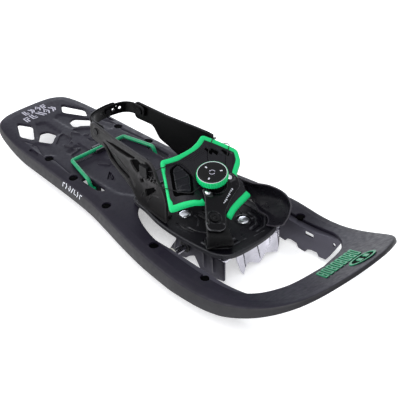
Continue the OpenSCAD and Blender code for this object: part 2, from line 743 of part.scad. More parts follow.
module heel_strap() {
    color([0.05, 0.05, 0.055])
        difference() {
            translate([0, 0, strap_z]) linear_extrude(strap_h) polygon(strip(strap_path, -1.1, 1.1));
            translate([-50, strap_pivot[0], strap_pivot[1]]) rotate([0, 90, 0]) cylinder(r = 2.55, h = 100);
            for (x = [-19, -10, -1, 8])
                translate([x, -90, strap_pivot[1]]) rotate([90, 0, 0]) cylinder(r = 2, h = 40);
        }
}
// Outer band that laps over the strap's right half
module strap_keeper() {
    lap = [for (p = strap_path) if (p[0] < 27 && p[0] > -15 && p[1] < -96) p];
    color([0.08, 0.08, 0.085])
        difference() {
            translate([0, 0, strap_z - 1]) linear_extrude(strap_h + 2) polygon(strip(lap, -3.2, -1.25));
            translate([17, -90, strap_pivot[1]]) rotate([90, 0, 0]) cylinder(r = 2, h = 40);
            translate([-1, -90, strap_pivot[1]]) rotate([90, 0, 0]) cylinder(r = 2, h = 40);
        }
}
module strap_stud() {
    color([0.35, 0.35, 0.37])
        translate([-1, -104.5, strap_pivot[1]]) rotate([90, 0, 0])
            union() {
                cylinder(r = 1.9, h = 7);
                translate([0, 0, 6.4]) cylinder(r = 4, h = 1.4);
                cylinder(r = 3.4, h = 1.4);
            }
}
module heel_strap_rivets() {
    color(steel)
        both_sides()
            translate([28.6, strap_pivot[0], strap_pivot[1]]) rotate([0, 90, 0])
                union() {
                    cylinder(r = 4.4, h = 1.4);
                    cylinder(r = 2.48, h = 10.4);
                    translate([0, 0, 9.3]) cylinder(r = 4.4, h = 1.4);
                }
}

// ---- heel lift ----

bail_pivot = [-78, 27];
bail_rear = -131;
bail_z = deck_top + wire_r + 0.5;
// Right half of the bail above its pivot, from the pivot's elbow to the middle of the crossbar
bail_half = [[44.2, bail_pivot[0], bail_pivot[1]], [53, bail_pivot[0], bail_pivot[1]],
             [53, -84.5, bail_z], [42, bail_rear, bail_z]];
module heel_lift_bail() {
    color(green) {
        both_sides() {
            for (i = [0 : 2]) rod(bail_half[i], bail_half[i + 1], wire_r);
            for (i = [1 : 3]) translate(bail_half[i]) sphere(r = wire_r * 1.04);
        }
        rod([-42, bail_rear, bail_z], [42, bail_rear, bail_z], wire_r);
    }
}
module bail_brackets() {
    color(black)
        both_sides()
            difference() {
                translate([43.4, bail_pivot[0] - 6, bail_pivot[1] - 5]) cube([5.4, 12, 10.8]);
                translate([40, bail_pivot[0], bail_pivot[1]]) rotate([0, 90, 0])
                    cylinder(r = wire_r + running_gap, h = 20);
            }
}
module bail_clip() {
    color([0.6, 0.6, 0.62])
        difference() {
            translate([-7, bail_rear - 6, deck_top + 0.2]) cube([14, 12, 5]);
            translate([-10, bail_rear, bail_z]) rotate([0, 90, 0])
                cylinder(r = wire_r + 0.35, h = 20);
            translate([-10, bail_rear - wire_r - 0.35, bail_z])
                cube([20, 2 * wire_r + 2.2, 10]);
        }
}

// ---- badge ----

badge_low = [for (y = [244 : 3 : 289]) [y, deck_top + rise(y) + 0.25]];
badge_high = [for (y = [289 : -3 : 244]) [y, deck_top + rise(y) + 1.5]];
module toe_badge() {
    color(green)
        intersection() {
            side_prism(concat(badge_low, badge_high), 200);
            linear_extrude(150) {
                for (k = [0 : 7])
                    translate([15.5 - 7.1 * k, 245])
                        polygon([[-2.75, 0], [2.75, 0], [12.83, 21], [7.33, 21]]);
                translate([-11, 278]) difference() {
                    scale([1, 0.594]) circle(r = 16.5);
                    scale([1, 0.536]) circle(r = 13.8);
                }
            }
        }
}

deck();
left_rail();
right_rail();
rail_rivets();
pivot_axle();
axle_bushings();
axle_clips();
toe_crampon();
crampon_bushings();
footbed();
footbed_rivets();
right_arm();
left_arm();
arm_rivets();
lace_guides();
instep_hood();
hood_rim();
front_rim();
hood_insert();
tongue();
hood_rivets();
tongue_button();
toe_strap();
toe_cup();
toe_rivets();
dial_base();
dial_post();
dial_spool();
dial_core();
dial_ring();
dial_cap();
lace();
heel_strap();
strap_keeper();
strap_stud();
heel_strap_rivets();
heel_lift_bail();
bail_brackets();
bail_clip();
toe_badge();
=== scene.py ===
"""Looks of a moulded-deck snowshoe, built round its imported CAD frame.

Shapes are worked out in millimetres, as in the CAD, and turned to metres where a mesh is made.
"""
import math

import bmesh
import bpy
import numpy as np
from mathutils import Matrix, Vector
from mathutils.geometry import delaunay_2d_cdt


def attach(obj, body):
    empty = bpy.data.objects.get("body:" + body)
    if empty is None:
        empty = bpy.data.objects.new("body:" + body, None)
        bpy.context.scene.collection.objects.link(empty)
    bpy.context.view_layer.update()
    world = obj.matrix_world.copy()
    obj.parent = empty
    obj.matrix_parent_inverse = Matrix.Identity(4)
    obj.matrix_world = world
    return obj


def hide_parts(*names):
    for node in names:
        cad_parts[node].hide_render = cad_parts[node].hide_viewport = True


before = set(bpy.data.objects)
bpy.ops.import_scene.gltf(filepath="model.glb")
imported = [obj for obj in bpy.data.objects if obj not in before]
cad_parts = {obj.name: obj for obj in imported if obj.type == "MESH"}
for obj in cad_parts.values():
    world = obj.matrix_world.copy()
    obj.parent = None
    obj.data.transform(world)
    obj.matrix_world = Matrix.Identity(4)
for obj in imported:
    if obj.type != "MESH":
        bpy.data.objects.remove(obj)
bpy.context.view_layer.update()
MM = 0.001
THINNEST = 0.05  # a moulded plate is nowhere thinner
ROUND_GAP = 0.02  # nearer points of a rounded corner are joined
WELD_GAP, SLIVER_GAP = 0.002, 0.001  # nearer vertices are joined, and shorter edges removed
ROW_STEP, EDGE_CLEAR = 0.87, 0.6  # of a plate's grid, in parts of its pitch


# ---- camera, floor and light ----

def add_object(name, data):
    made = bpy.data.objects.new(name, data)
    bpy.context.scene.collection.objects.link(made)
    return made


CAMERA_ANGLES = (136.48, 35.64, -0.69)  # azimuth, elevation and roll, in degrees
CAMERA_TARGET, CAMERA_DISTANCE = (-0.0165, 0.04131, 0.037), 1.01033
CAMERA_LENS, SENSOR_WIDTH = 76.6, 36
FLOOR_HALF_SIZE = 6


def add_camera():
    azimuth, elevation, roll = (math.radians(a) for a in CAMERA_ANGLES)
    back = Vector((math.sin(azimuth) * math.cos(elevation),
                   -math.cos(azimuth) * math.cos(elevation), math.sin(elevation)))
    sideways = Vector((math.cos(azimuth), math.sin(azimuth), 0))
    right = math.cos(roll) * sideways + math.sin(roll) * back.cross(sideways)
    up = back.cross(right)
    data = bpy.data.cameras.new("camera")
    data.lens, data.sensor_width = CAMERA_LENS, SENSOR_WIDTH
    data.clip_start, data.clip_end = 0.01, 50
    camera = add_object("camera", data)
    camera.matrix_world = Matrix.Translation(
        Vector(CAMERA_TARGET) + back * CAMERA_DISTANCE) @ Matrix(
        (right, up, back)).transposed().to_4x4()
    bpy.context.scene.camera = camera


def add_light(name, place, aim, size, power, colour=(1, 1, 1)):
    data = bpy.data.lights.new(name, "AREA")
    data.shape, data.size, data.size_y = "RECTANGLE", size[0], size[1]
    data.energy, data.color = power, colour
    light = add_object(name, data)
    light.location = place
    light.rotation_euler = (Vector(place) - Vector(aim)).to_track_quat("Z", "Y").to_euler()


def add_studio():
    world = bpy.data.worlds.new("studio")
    bpy.context.scene.world = world
    world.use_nodes = True
    sky = world.node_tree.nodes["Background"].inputs
    sky["Color"].default_value, sky["Strength"].default_value = (0.94, 0.96, 1, 1), 0.78
    add_light("key", (0.9, 0.9, 1.5), (0, 0, 0), (1.0, 1.0), 12)
    add_light("top", (0.35, -0.5, 1.8), (0, 0, 0), (1.2, 1.2), 10)
    add_light("side", (1.5, -1.2, 0.8), (0, 0, 0.05), (1.3, 0.8), 22)
    add_light("tail", (-1.3, -1.9, 0.5), (0, 0.1, 0.05), (1.6, 0.8), 10, (0.86, 0.9, 1))
    mesh = bpy.data.meshes.new("floor")
    mesh.from_pydata([(x * FLOOR_HALF_SIZE, y * FLOOR_HALF_SIZE, 0) for x, y in
                      ((-1, -1), (1, -1), (1, 1), (-1, 1))], [], [(0, 1, 2, 3)])
    floor = add_object("floor", mesh)
    paper = bpy.data.materials.new("paper")
    paper.use_nodes = True
    shader = paper.node_tree.nodes["Principled BSDF"]
    for socket, value in (("Base Color", (0.9, 0.9, 0.9, 1)), ("Roughness", 0.9),
                          ("Emission Color", (1, 1, 1, 1)), ("Emission Strength", 0.4)):
        shader.inputs[socket].default_value = value
    floor.data.materials.append(paper)
    bpy.context.scene.view_settings.view_transform = "Standard"


# ---- mesh tools ----

def curve(points, steps):
    """Smooth open line through the points."""
    p = np.array(points, float)
    last, out = len(p) - 1, []
    for i in range(last):
        a, b, c, d = p[max(i - 1, 0)], p[i], p[i + 1], p[min(i + 2, last)]
        for t in np.arange(steps) / steps:
            out.append(0.5 * (2 * b + (c - a) * t + (2 * a - 5 * b + 4 * c - d) * t * t
                              + (3 * b - a - 3 * c + d) * t ** 3))
    return np.array(out + [p[last]])


def mirrored(half):
    """A closed loop from its right half, which starts and ends on the middle line."""
    half = np.array(half, float)
    return np.vstack([half, half[-2:0:-1] * (-1, 1)])


def area(loop):
    x, y = loop[:, 0], loop[:, 1]
    return 0.5 * np.sum(x * np.roll(y, -1) - np.roll(x, -1) * y)


def as_outline(loop):
    """The closed loop turned anticlockwise, as an outline has to be."""
    loop = np.array(loop, float)
    return loop if area(loop) > 0 else loop[::-1]


def as_hole(loop):
    """The closed loop turned clockwise, as a hole has to be."""
    return as_outline(loop)[::-1]


def rounded(loop, radius, steps=4):
    """The closed loop with each corner cut to a soft arc."""
    loop = np.array(loop, float)
    out = []
    for i, p in enumerate(loop):
        ahead, behind = loop[(i + 1) % len(loop)] - p, loop[i - 1] - p
        far, near = np.linalg.norm(ahead), np.linalg.norm(behind)
        cut = min(radius, 0.48 * far, 0.48 * near)
        a, b = p + behind / near * cut, p + ahead / far * cut
        for t in np.linspace(0, 1, steps + 1):
            out.append((1 - t) ** 2 * a + 2 * t * (1 - t) * p + t * t * b)
    out = np.array(out)
    return out[np.linalg.norm(out - np.roll(out, 1, 0), axis=1) > ROUND_GAP]


def oblong(x0, y0, x1, y1, radius, steps=4):
    return rounded([(x0, y0), (x1, y0), (x1, y1), (x0, y1)], radius, steps)


def dense(loop, gap):
    """The closed loop with no side longer than the gap."""
    loop = np.array(loop, float)
    out = []
    for a, b in zip(loop, np.roll(loop, -1, 0)):
        n = max(1, math.ceil(np.linalg.norm(b - a) / gap))
        out += [a + (b - a) * k / n for k in range(n)]
    return np.array(out)


def unit(v):
    """The vectors along the last axis, each at length 1."""
    return v / np.maximum(np.linalg.norm(v, axis=-1, keepdims=True), 1e-9)


def spoke(degrees):
    return np.array((math.cos(math.radians(degrees)), math.sin(math.radians(degrees))))


def inset(loop, d):
    """The loop moved d to its left, which is into the material."""
    v = unit(np.roll(loop, -1, 0) - np.roll(loop, 1, 0))
    return loop + d * np.column_stack([-v[:, 1], v[:, 0]])


def strip(line, width):
    """Closed loop round an open line."""
    line = np.array(line, float)
    v = unit(np.gradient(line, axis=0))
    n = np.column_stack([v[:, 1], -v[:, 0]]) * width / 2
    return np.vstack([line + n, (line - n)[::-1]])


def circle(centre, radius, n=28):
    a = np.arange(n) * 2 * math.pi / n
    return np.array(centre) + radius * np.column_stack([np.cos(a), np.sin(a)])


def distance(points, loop):
    """Distance of each point from the loop."""
    best = np.full(len(points), 1e9)
    for a, b in zip(loop, np.roll(loop, -1, 0)):
        ab = b - a
        t = np.clip(((points - a) @ ab) / max(ab @ ab, 1e-12), 0, 1)
        best = np.minimum(best, np.hypot(*(points - a - t[:, None] * ab).T))
    return best


def inside(points, loop):
    """Which of the points the loop goes round."""
    odd = np.zeros(len(points), bool)
    x, y = points[:, 0], points[:, 1]
    for (ax, ay), (bx, by) in zip(loop, np.roll(loop, -1, 0)):
        if ay != by:
            odd ^= ((ay > y) != (by > y)) & (x < (bx - ax) * (y - ay) / (by - ay) + ax)
    return odd


def signed(points, loop):
    """Distance to the loop, positive inside."""
    return np.where(inside(points, loop), 1, -1) * distance(points, loop)


def within(loops):
    """A test of points: inside the first loop and in none of the others."""
    def keep(p):
        ok = inside(p, loops[0])
        for loop in loops[1:]:
            ok &= ~inside(p, loop)
        return ok
    return keep


def edge_rings(loop, edge):
    """Lines inside the loop on which a quarter-round edge is sampled."""
    return [inset(loop, edge * (1 - math.cos(math.pi / 6 * k))) for k in (1, 2, 3)]


def triangulate(loops, keep, pitch):
    """Vertices and triangles of the plan region where keep(points) is true."""
    points, edges = [], []
    for loop in loops:
        base, n = len(points), len(loop)
        points.extend(loop)
        edges += [(base + i, base + (i + 1) % n) for i in range(n)]
    rings = np.array(points)
    low, high = rings.min(0), rings.max(0)
    xs, ys = np.arange(low[0], high[0], pitch), np.arange(low[1], high[1], pitch * ROW_STEP)
    grid = np.array([(x + (j % 2) * pitch / 2, y) for j, y in enumerate(ys) for x in xs])
    grid = grid[keep(grid)]
    for loop in loops:
        if len(grid):
            box = (grid > loop.min(0) - pitch).all(1) & (grid < loop.max(0) + pitch).all(1)
            near = np.zeros(len(grid), bool)
            near[box] = distance(grid[box], loop) < EDGE_CLEAR * pitch
            grid = grid[~near]
    points = [Vector(p) for p in np.vstack([rings, grid])]
    made = delaunay_2d_cdt(points, edges, [], 0, 1e-4)
    xy = np.array([v[:] for v in made[0]])
    tris = np.array([f for f in made[2] if len(f) == 3])
    a, b, c = xy[tris[:, 0]], xy[tris[:, 1]], xy[tris[:, 2]]
    turn = (b - a)[:, 0] * (c - a)[:, 1] - (b - a)[:, 1] * (c - a)[:, 0]
    tris[turn < 0] = tris[turn < 0][:, ::-1]
    tris = tris[(np.abs(turn) > 1e-5) & keep((a + b + c) / 3)]
    used, index = np.unique(tris, return_inverse=True)
    return xy[used], index.reshape(-1, 3)


def rim_edges(tris):
    """Directed edges that only one triangle has."""
    edges = {}
    for t in tris:
        for i in range(3):
            a, b = int(t[i]), int(t[(i + 1) % 3])
            if (b, a) in edges:
                del edges[(b, a)]
            else:
                edges[(a, b)] = True
    return list(edges)


def piece(name, verts, faces, finish, body, replaces=(), angle=38, others=()):
    """A mesh object from points in millimetres, riding on a body. Others are more finishes, each
    with the faces that it goes on."""
    mesh = bpy.data.meshes.new(name)
    mesh.from_pydata((np.array(verts) * MM).tolist(), [], [tuple(map(int, f)) for f in faces])
    mesh.materials.append(finish)
    slots = np.zeros(len(faces), np.int32)
    for k, (other, where) in enumerate(others):
        mesh.materials.append(other)
        slots[where] = k + 1
    mesh.polygons.foreach_set("material_index", slots)
    bm = bmesh.new()
    bm.from_mesh(mesh)
    bmesh.ops.remove_doubles(bm, verts=bm.verts, dist=WELD_GAP * MM)
    bmesh.ops.dissolve_degenerate(bm, edges=bm.edges, dist=SLIVER_GAP * MM)
    bmesh.ops.recalc_face_normals(bm, faces=bm.faces)
    bm.to_mesh(mesh)
    bm.free()
    mesh.shade_smooth()
    mesh.set_sharp_from_angle(angle=math.radians(angle))
    made = add_object(name, mesh)
    made.modifiers.new("normals", "WEIGHTED_NORMAL").keep_sharp = True
    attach(made, body)
    if replaces:
        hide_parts(*replaces)


def rounding(d, radius):
    """Drop of a quarter-round edge at distance d inside it."""
    if radius <= 0:
        return np.zeros_like(d)
    t = np.clip(1 - d / radius, 0, 1)
    return radius * (1 - np.sqrt(np.clip(1 - t * t, 0, 1)))


def smooth(t):
    t = np.clip(t, 0, 1)
    return t * t * (3 - 2 * t)


def relieved(points, relief):
    """Height of the relief at the points: each item is (loop, height, slope width)."""
    total = np.zeros(len(points))
    for loop, height, width in relief:
        box = ((points > loop.min(0) - width - 1).all(1)
               & (points < loop.max(0) + width + 1).all(1))
        if box.any():
            total[box] += height * smooth(signed(points[box], loop) / width + 0.5)
    return total


def relief_rings(relief):
    """Lines at the foot and the top of each slope of the relief."""
    return [inset(l, way * width / 2) for l, _, width in relief for way in (1, -1)]


def double_sheet(xy, tris, open_edge=None):
    """Faces of a plate: the triangles, their copies below and the walls between them, except
    where both ends of a wall are on the open edge."""
    n = len(xy)
    faces = [tuple(t) for t in tris] + [tuple(t[::-1] + n) for t in tris]
    return faces + [(a, a + n, b + n, b) for a, b in rim_edges(tris)
                    if open_edge is None or not (open_edge[a] and open_edge[b])]


def flat_place(p, w):
    return np.column_stack([p, w])


def ground(p):
    return np.zeros(len(p))


def moulded(name, loops, top, bottom, finish, body, replaces=(), edge=1.0, low_edge=0.5,
            pitch=3.0, relief=(), place=flat_place, base=ground, inlay=None):
    """A moulded plate: a plan outline with holes, an upper and a lower face at their heights
    over the base, rounded edges and raised or sunk relief on the upper face. An inlay is
    (outlines, their own finish)."""
    loops = [dense(l, pitch) for l in loops]
    loops = [as_outline(loops[0])] + [as_hole(l) for l in loops[1:]]
    relief = [(as_outline(dense(l, pitch)), height, width) for l, height, width in relief]
    rings = list(loops)
    if edge > 0:
        rings += [ring for l in loops for ring in edge_rings(l, edge)]
    xy, tris = triangulate(rings + relief_rings(relief), within(loops), pitch)
    d = np.min([distance(xy, l) for l in loops], axis=0)
    up = base(xy) + top - rounding(d, edge) + relieved(xy, relief)
    down = np.minimum(base(xy) + bottom + rounding(d, low_edge), up - THINNEST)
    faces = double_sheet(xy, tris)
    others = []
    if inlay:
        middles = xy[tris].mean(axis=1)
        spots = np.any([signed(middles, np.array(l, float)) > 0.1 for l in inlay[0]], axis=0)
        others.append((inlay[1], np.flatnonzero(spots)))
    piece(name, np.vstack([place(xy, up), place(xy, down)]), faces, finish, body, replaces,
          others=others)


def printed(name, loop, top, bottom, finish, body, pitch=3, **how):
    """A thin flat mark."""
    moulded(name, [loop], top, bottom, finish, body, edge=0, pitch=pitch, **how)


def skin(count, n, closed=False):
    """Faces between rings of n points, with the last ring joined to the first if closed."""
    return [(i * n + k, i * n + (k + 1) % n, (i + 1) % count * n + (k + 1) % n,
             (i + 1) % count * n + k) for i in range(count - (not closed)) for k in range(n)]


def capped_skin(count, n):
    return skin(count, n) + [tuple(range(n - 1, -1, -1)), tuple(range((count - 1) * n, count * n))]


def tube(name, path, radius, finish, body, replaces, sides):
    """A round bar or cord along a path."""
    path = np.array(path, float)
    along = unit(np.gradient(path, axis=0))
    side = np.cross(along[0], (0.05, 0.1, 1))
    verts = []
    for p, t in zip(path, along):
        side = side - t * (side @ t)
        side /= np.linalg.norm(side)
        other = np.cross(t, side)
        a = np.arange(sides) * 2 * math.pi / sides
        verts.append(p + radius * (np.outer(np.cos(a), side) + np.outer(np.sin(a), other)))
    piece(name, np.vstack(verts), capped_skin(len(path), sides), finish, body, replaces, angle=50)


def turned(name, profile, finish, body, place, replaces=(), n=96, wave=None, angle=38):
    """A turned part: profile of (radius, height), optionally with a wavy radius."""
    profile = np.array(profile, float)
    a = np.arange(n) * 2 * math.pi / n
    rows = []
    for i, (r, h) in enumerate(profile):
        radius = r + (wave(a, i) if wave else 0)
        rows.append(np.column_stack([radius * np.cos(a), radius * np.sin(a), np.full(n, h)]))
    verts = np.vstack(rows)
    closed = profile[0][0] != 0 and profile[-1][0] != 0
    piece(name, place(verts[:, :2], verts[:, 2]), skin(len(profile), n, closed), finish, body,
          replaces, angle)


def band(name, grid, thickness, finish, body, replaces):
    """A strap: a grid of points (rows along it) made thick, with rounded long edges."""
    g = np.array(grid, float)
    du, dv = np.gradient(g, axis=0), np.gradient(g, axis=1)
    normal, across = unit(np.cross(dv, du)), unit(dv)
    h = thickness / 2
    turns = np.linspace(0, math.pi, 6)[1:-1]
    ring = [g[:, j] + normal[:, j] * h for j in range(g.shape[1])]
    ring += [g[:, -1] + h * (math.cos(a) * normal[:, -1] + math.sin(a) * across[:, -1])
             for a in turns]
    ring += [g[:, j] - normal[:, j] * h for j in range(g.shape[1] - 1, -1, -1)]
    ring += [g[:, 0] - h * (math.cos(a) * normal[:, 0] + math.sin(a) * across[:, 0])
             for a in turns]
    rows = np.stack(ring, axis=1)
    piece(name, rows.reshape(-1, 3), capped_skin(*rows.shape[:2]), finish, body, replaces,
          angle=45)


# ---- materials ----

BLOTCH_SCALE, SCUFF_SHARE, BUMP_STRENGTH = 28, 0.15, 0.6
# The lighter edge tone is partly wear and partly painted highlight where edges catch the light
WEAR_AND_HIGHLIGHT_START, WEAR_AND_HIGHLIGHT_END = 0.51, 0.6  # pointiness between which wear sets in


def material(name, colour, rough, grain, grain_depth, metallic=0.0, blotch=0.12,
             rough_swing=0.08, wear_and_highlight=None, specular=0.5, streak=None):
    """Noise-driven plastic or metal: mottled colour, uneven gloss and a fine surface grain.
    Wear and highlight is (strength, colour) of the lighter tone along the edges: partly wear, and
    partly painted highlight where edges catch the light."""
    made = bpy.data.materials.new(name)
    made.use_nodes = True
    nodes, links = made.node_tree.nodes, made.node_tree.links
    shader = nodes["Principled BSDF"]
    shader.inputs["Metallic"].default_value = metallic
    shader.inputs["Specular IOR Level"].default_value = specular
    place = nodes.new("ShaderNodeTexCoord").outputs["Object"]
    if streak:
        mapping = nodes.new("ShaderNodeMapping")
        mapping.inputs["Scale"].default_value = streak
        links.new(place, mapping.inputs["Vector"])
        place = mapping.outputs["Vector"]

    def noise(scale, detail):
        node = nodes.new("ShaderNodeTexNoise")
        node.inputs["Scale"].default_value = scale
        node.inputs["Detail"].default_value = detail
        links.new(place, node.inputs["Vector"])
        return node.outputs["Fac"]

    def spread(value, low, high, start=0.3, end=0.7):
        node = nodes.new("ShaderNodeMapRange")
        for socket, number in (("From Min", start), ("From Max", end), ("To Min", low),
                               ("To Max", high)):
            node.inputs[socket].default_value = number
        links.new(value, node.inputs["Value"])
        return node.outputs["Result"]

    def mix(share, first, second):
        node = nodes.new("ShaderNodeMix")
        node.data_type = "RGBA"
        links.new(share, node.inputs["Factor"])
        for socket, value in ((node.inputs["A"], first), (node.inputs["B"], second)):
            if isinstance(value, tuple):
                socket.default_value = (*value, 1)
            else:
                links.new(value, socket)
        return node.outputs["Result"]

    broad, fine = noise(BLOTCH_SCALE, 3), noise(grain, 4)
    darker = tuple(c * (1 - blotch) for c in colour)
    lighter = tuple(min(1, c * (1 + blotch)) for c in colour)
    tone = mix(spread(broad, 0, 1), darker, lighter)
    # Lighter tone on pointy edges: partly wear, partly painted highlight
    if wear_and_highlight:
        point = nodes.new("ShaderNodeNewGeometry").outputs["Pointiness"]
        tone = mix(spread(point, 0, wear_and_highlight[0], WEAR_AND_HIGHLIGHT_START, WEAR_AND_HIGHLIGHT_END), tone, wear_and_highlight[1])
    links.new(tone, shader.inputs["Base Color"])
    scuffs = noise(grain * SCUFF_SHARE, 5)
    links.new(spread(scuffs, rough - rough_swing, rough + rough_swing),
              shader.inputs["Roughness"])
    bump = nodes.new("ShaderNodeBump")
    bump.inputs["Strength"].default_value = BUMP_STRENGTH
    bump.inputs["Distance"].default_value = grain_depth * MM
    links.new(fine, bump.inputs["Height"])
    links.new(bump.outputs["Normal"], shader.inputs["Normal"])
    return made


deck_plastic = material("deck plastic", (0.0078, 0.0062, 0.0128), 0.46, 1400, 0.035, specular=0.17,
                        wear_and_highlight=(0.3, (0.03, 0.03, 0.034)))
# Painted light: a lighter copy of the deck plastic for the rim's outer wall, where side light falls
rim_painted_light = material("rim wall painted light", (0.0096, 0.0088, 0.0112), 0.5, 1400, 0.035,
                       specular=0.3)
arm_plastic = material("grey arm plastic", (0.0060, 0.0055, 0.0058), 0.40, 1200, 0.04,
                       specular=0.2, wear_and_highlight=(0.7, (0.09, 0.085, 0.09)))
black_plastic = material("black plastic", (0.0008, 0.0008, 0.001), 0.40, 1600, 0.03, specular=0.12,
                         wear_and_highlight=(0.3, (0.015, 0.015, 0.017)))
# Painted shade: near-black laid on the floors of recesses, pockets and slots, and on the rail
# rivets in their wells, where shade falls
painted_recess_shade = material("painted recess shade", (0.0004, 0.0004, 0.0005), 0.7, 1200, 0.03, specular=0.02)
hood_plastic = material("hood plastic", (0.0056, 0.0050, 0.0076), 0.30, 1500, 0.03, specular=0.24,
                        wear_and_highlight=(0.3, (0.03, 0.03, 0.034)))
pad_plastic = material("pad plastic", (0.0035, 0.0035, 0.0060), 0.28, 1100, 0.02, specular=0.2,
                       wear_and_highlight=(0.4, (0.06, 0.06, 0.07)))
# Its edge tone is mostly painted highlight: a light line along the footbed's border
footbed_plastic = material("footbed plastic", (0.0026, 0.0024, 0.0040), 0.34, 1300, 0.03,
                           specular=0.16, wear_and_highlight=(0.9, (0.09, 0.09, 0.10)))
# Its edge tone is partly painted highlight along the cup's upper rim
cup_plastic = material("toe cup plastic", (0.0070, 0.0064, 0.0092), 0.32, 1300, 0.03,
                       specular=0.24, wear_and_highlight=(0.6, (0.10, 0.09, 0.11)))
# Its edge tone is a painted highlight along the tongue's chamfered sides
gloss_plastic = material("tongue plastic", (0.0014, 0.0013, 0.0020), 0.22, 1000, 0.012,
                         specular=0.16, wear_and_highlight=(1.0, (0.16, 0.16, 0.17)))
gloss_black = material("gloss black", (0.0008, 0.0008, 0.0010), 0.2, 700, 0.001, rough_swing=0.03,
                       specular=0.22)
green_rubber = material("green elastomer", (0.004, 0.50, 0.155), 0.46, 1500, 0.04, blotch=0.08,
                        specular=0.25)
green_wire = material("green coated wire", (0.004, 0.24, 0.10), 0.3, 900, 0.02, blotch=0.1,
                      specular=0.4)
strap_rubber = material("strap rubber", (0.0010, 0.0010, 0.0012), 0.34, 1800, 0.04, blotch=0.2,
                        specular=0.16, wear_and_highlight=(0.5, (0.03, 0.03, 0.033)))
rail_steel = material("dark rail steel", (0.060, 0.057, 0.075), 0.40, 500, 0.02, metallic=0.55,
                      streak=(1, 0.2, 1), rough_swing=0.12, specular=0.3)
bright_steel = material("pressed bright steel", (0.55, 0.54, 0.60), 0.26, 420, 0.04, metallic=1.0,
                        rough_swing=0.14, blotch=0.3)
# Painted shade: the crampon's side plates are the same steel as its front, made much darker for the
# shade they sit in under the deck
crampon_side_painted_shade = material("crampon side steel painted shade", (0.048, 0.046, 0.060), 0.36, 420, 0.04, metallic=1.0,
                        rough_swing=0.14, blotch=0.3)
clip_steel = material("clip steel", (0.12, 0.12, 0.13), 0.35, 400, 0.01, metallic=1.0)
# Painted shadow: dark steel laid in the grooves beside the front plate's pressed ribs
groove_painted_shade = material("painted groove shade", (0.05, 0.05, 0.062), 0.4, 420, 0.03, metallic=0.9)
rivet_steel = material("rivet steel", (0.78, 0.80, 0.84), 0.28, 300, 0.002, metallic=1.0,
                       rough_swing=0.05)
dark_steel = material("blackened steel", (0.006, 0.006, 0.007), 0.42, 600, 0.02, metallic=0.3,
                      specular=0.15)
white_nylon = material("white nylon", (0.45, 0.44, 0.40), 0.45, 900, 0.02, blotch=0.05)
black_nylon = material("black nylon", (0.004, 0.004, 0.005), 0.45, 900, 0.02, specular=0.2)
lace_cord = material("lace cord", (0.008, 0.008, 0.009), 0.5, 2500, 0.1, blotch=0.5, specular=0.2)
white_ink = material("white ink", (0.55, 0.56, 0.61), 0.5, 2000, 0.01, blotch=0.08)
tail_ink = material("tail ink", (0.40, 0.39, 0.46), 0.5, 2000, 0.01, blotch=0.08)
green_ink = material("green ink", (0.004, 0.17, 0.075), 0.45, 2000, 0.01)

NODE_MATERIALS = {
    deck_plastic: ["deck"],
    arm_plastic: ["right_arm"],
    black_plastic: ["left_arm", "lace_guides", "instep_hood", "footbed", "tongue", "hood_insert",
                    "dial_base", "bail_brackets"],
    gloss_black: ["dial_cap", "tongue_button"],
    green_rubber: ["hood_rim", "front_rim", "dial_ring"],
    green_wire: ["heel_lift_bail"],
    green_ink: ["toe_badge"],
    strap_rubber: ["heel_strap", "strap_keeper", "toe_strap", "toe_cup"],
    rail_steel: ["left_rail", "right_rail"],
    bright_steel: ["toe_crampon", "pivot_axle", "axle_clips", "dial_post"],
    rivet_steel: ["footbed_rivets", "hood_rivets"],
    clip_steel: ["bail_clip"],
    # The rail rivets sit deep in their wells and take the painted recess shade
    painted_recess_shade: ["rail_rivets"],
    black_nylon: ["crampon_bushings"],
    dark_steel: ["arm_rivets", "heel_strap_rivets", "toe_rivets", "strap_stud"],
    white_nylon: ["axle_bushings", "dial_spool", "dial_core"],
    lace_cord: ["lace"],
}


CAD_WELD, CAD_BEVEL, FLAT_ANGLE, BEVEL_ANGLE = 0.01, 0.3, math.radians(0.6), math.radians(32)


def finish_cad_nodes():
    """Gives every CAD node its material and softens its sharp edges."""
    for finish, names in NODE_MATERIALS.items():
        for name in names:
            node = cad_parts[name]
            node.data.materials.clear()
            node.data.materials.append(finish)
            node.modifiers.new("weld", "WELD").merge_threshold = CAD_WELD * MM
            flat = node.modifiers.new("flat", "DECIMATE")
            flat.decimate_type, flat.angle_limit = "DISSOLVE", FLAT_ANGLE
            bevel = node.modifiers.new("bevel", "BEVEL")
            bevel.width, bevel.segments, bevel.angle_limit = CAD_BEVEL * MM, 2, BEVEL_ANGLE
            node.modifiers.new("normals", "WEIGHTED_NORMAL").keep_sharp = True


# ---- deck ----

DECK_TOP, DECK_T, TOE_START, TAIL_START, TAIL_Y, TOE_Y = 37.0, 4.0, 150.0, -215.0, -294.0, 298.0
RIM_HALF = curve([(0, -294), (22, -293.4), (40, -290.4), (55, -281), (63, -264), (68, -240),
                  (72, -205), (74.5, -140), (77, -85), (80.5, -45), (87, -8), (93.5, 26),
                  (100, 68), (103.2, 108), (103.5, 128), (100.5, 165), (95.5, 203), (90, 232),
                  (82.5, 256), (72.5, 274), (58, 285.5), (38, 292.8), (20, 296.8), (0, 298)], 8)
OPENING_HALF = curve([(0, -8), (30, -6), (50, 6), (63, 30), (71, 60), (74, 95), (74.5, 150),
                      (72.5, 190), (66, 208), (54, 222), (36, 233), (0, 240)], 8)
REAR_WINDOW = [(37, -262), (25, -243), (44.5, -211), (53.5, -230)]
FRONT_WINDOW = [(28, -221), (18, -218), (14, -204), (33, -187), (43, -204)]
RIVET_SPOTS = [(57, -160), (61.5, -103), (69, -29), (79, 67), (76.5, 146)]
BAIL_SLOT = [(48.5, -92), (58, -92), (58, -60), (52, -54), (48.5, -57)]
TOE_RISE, TAIL_RISE = 70, 3
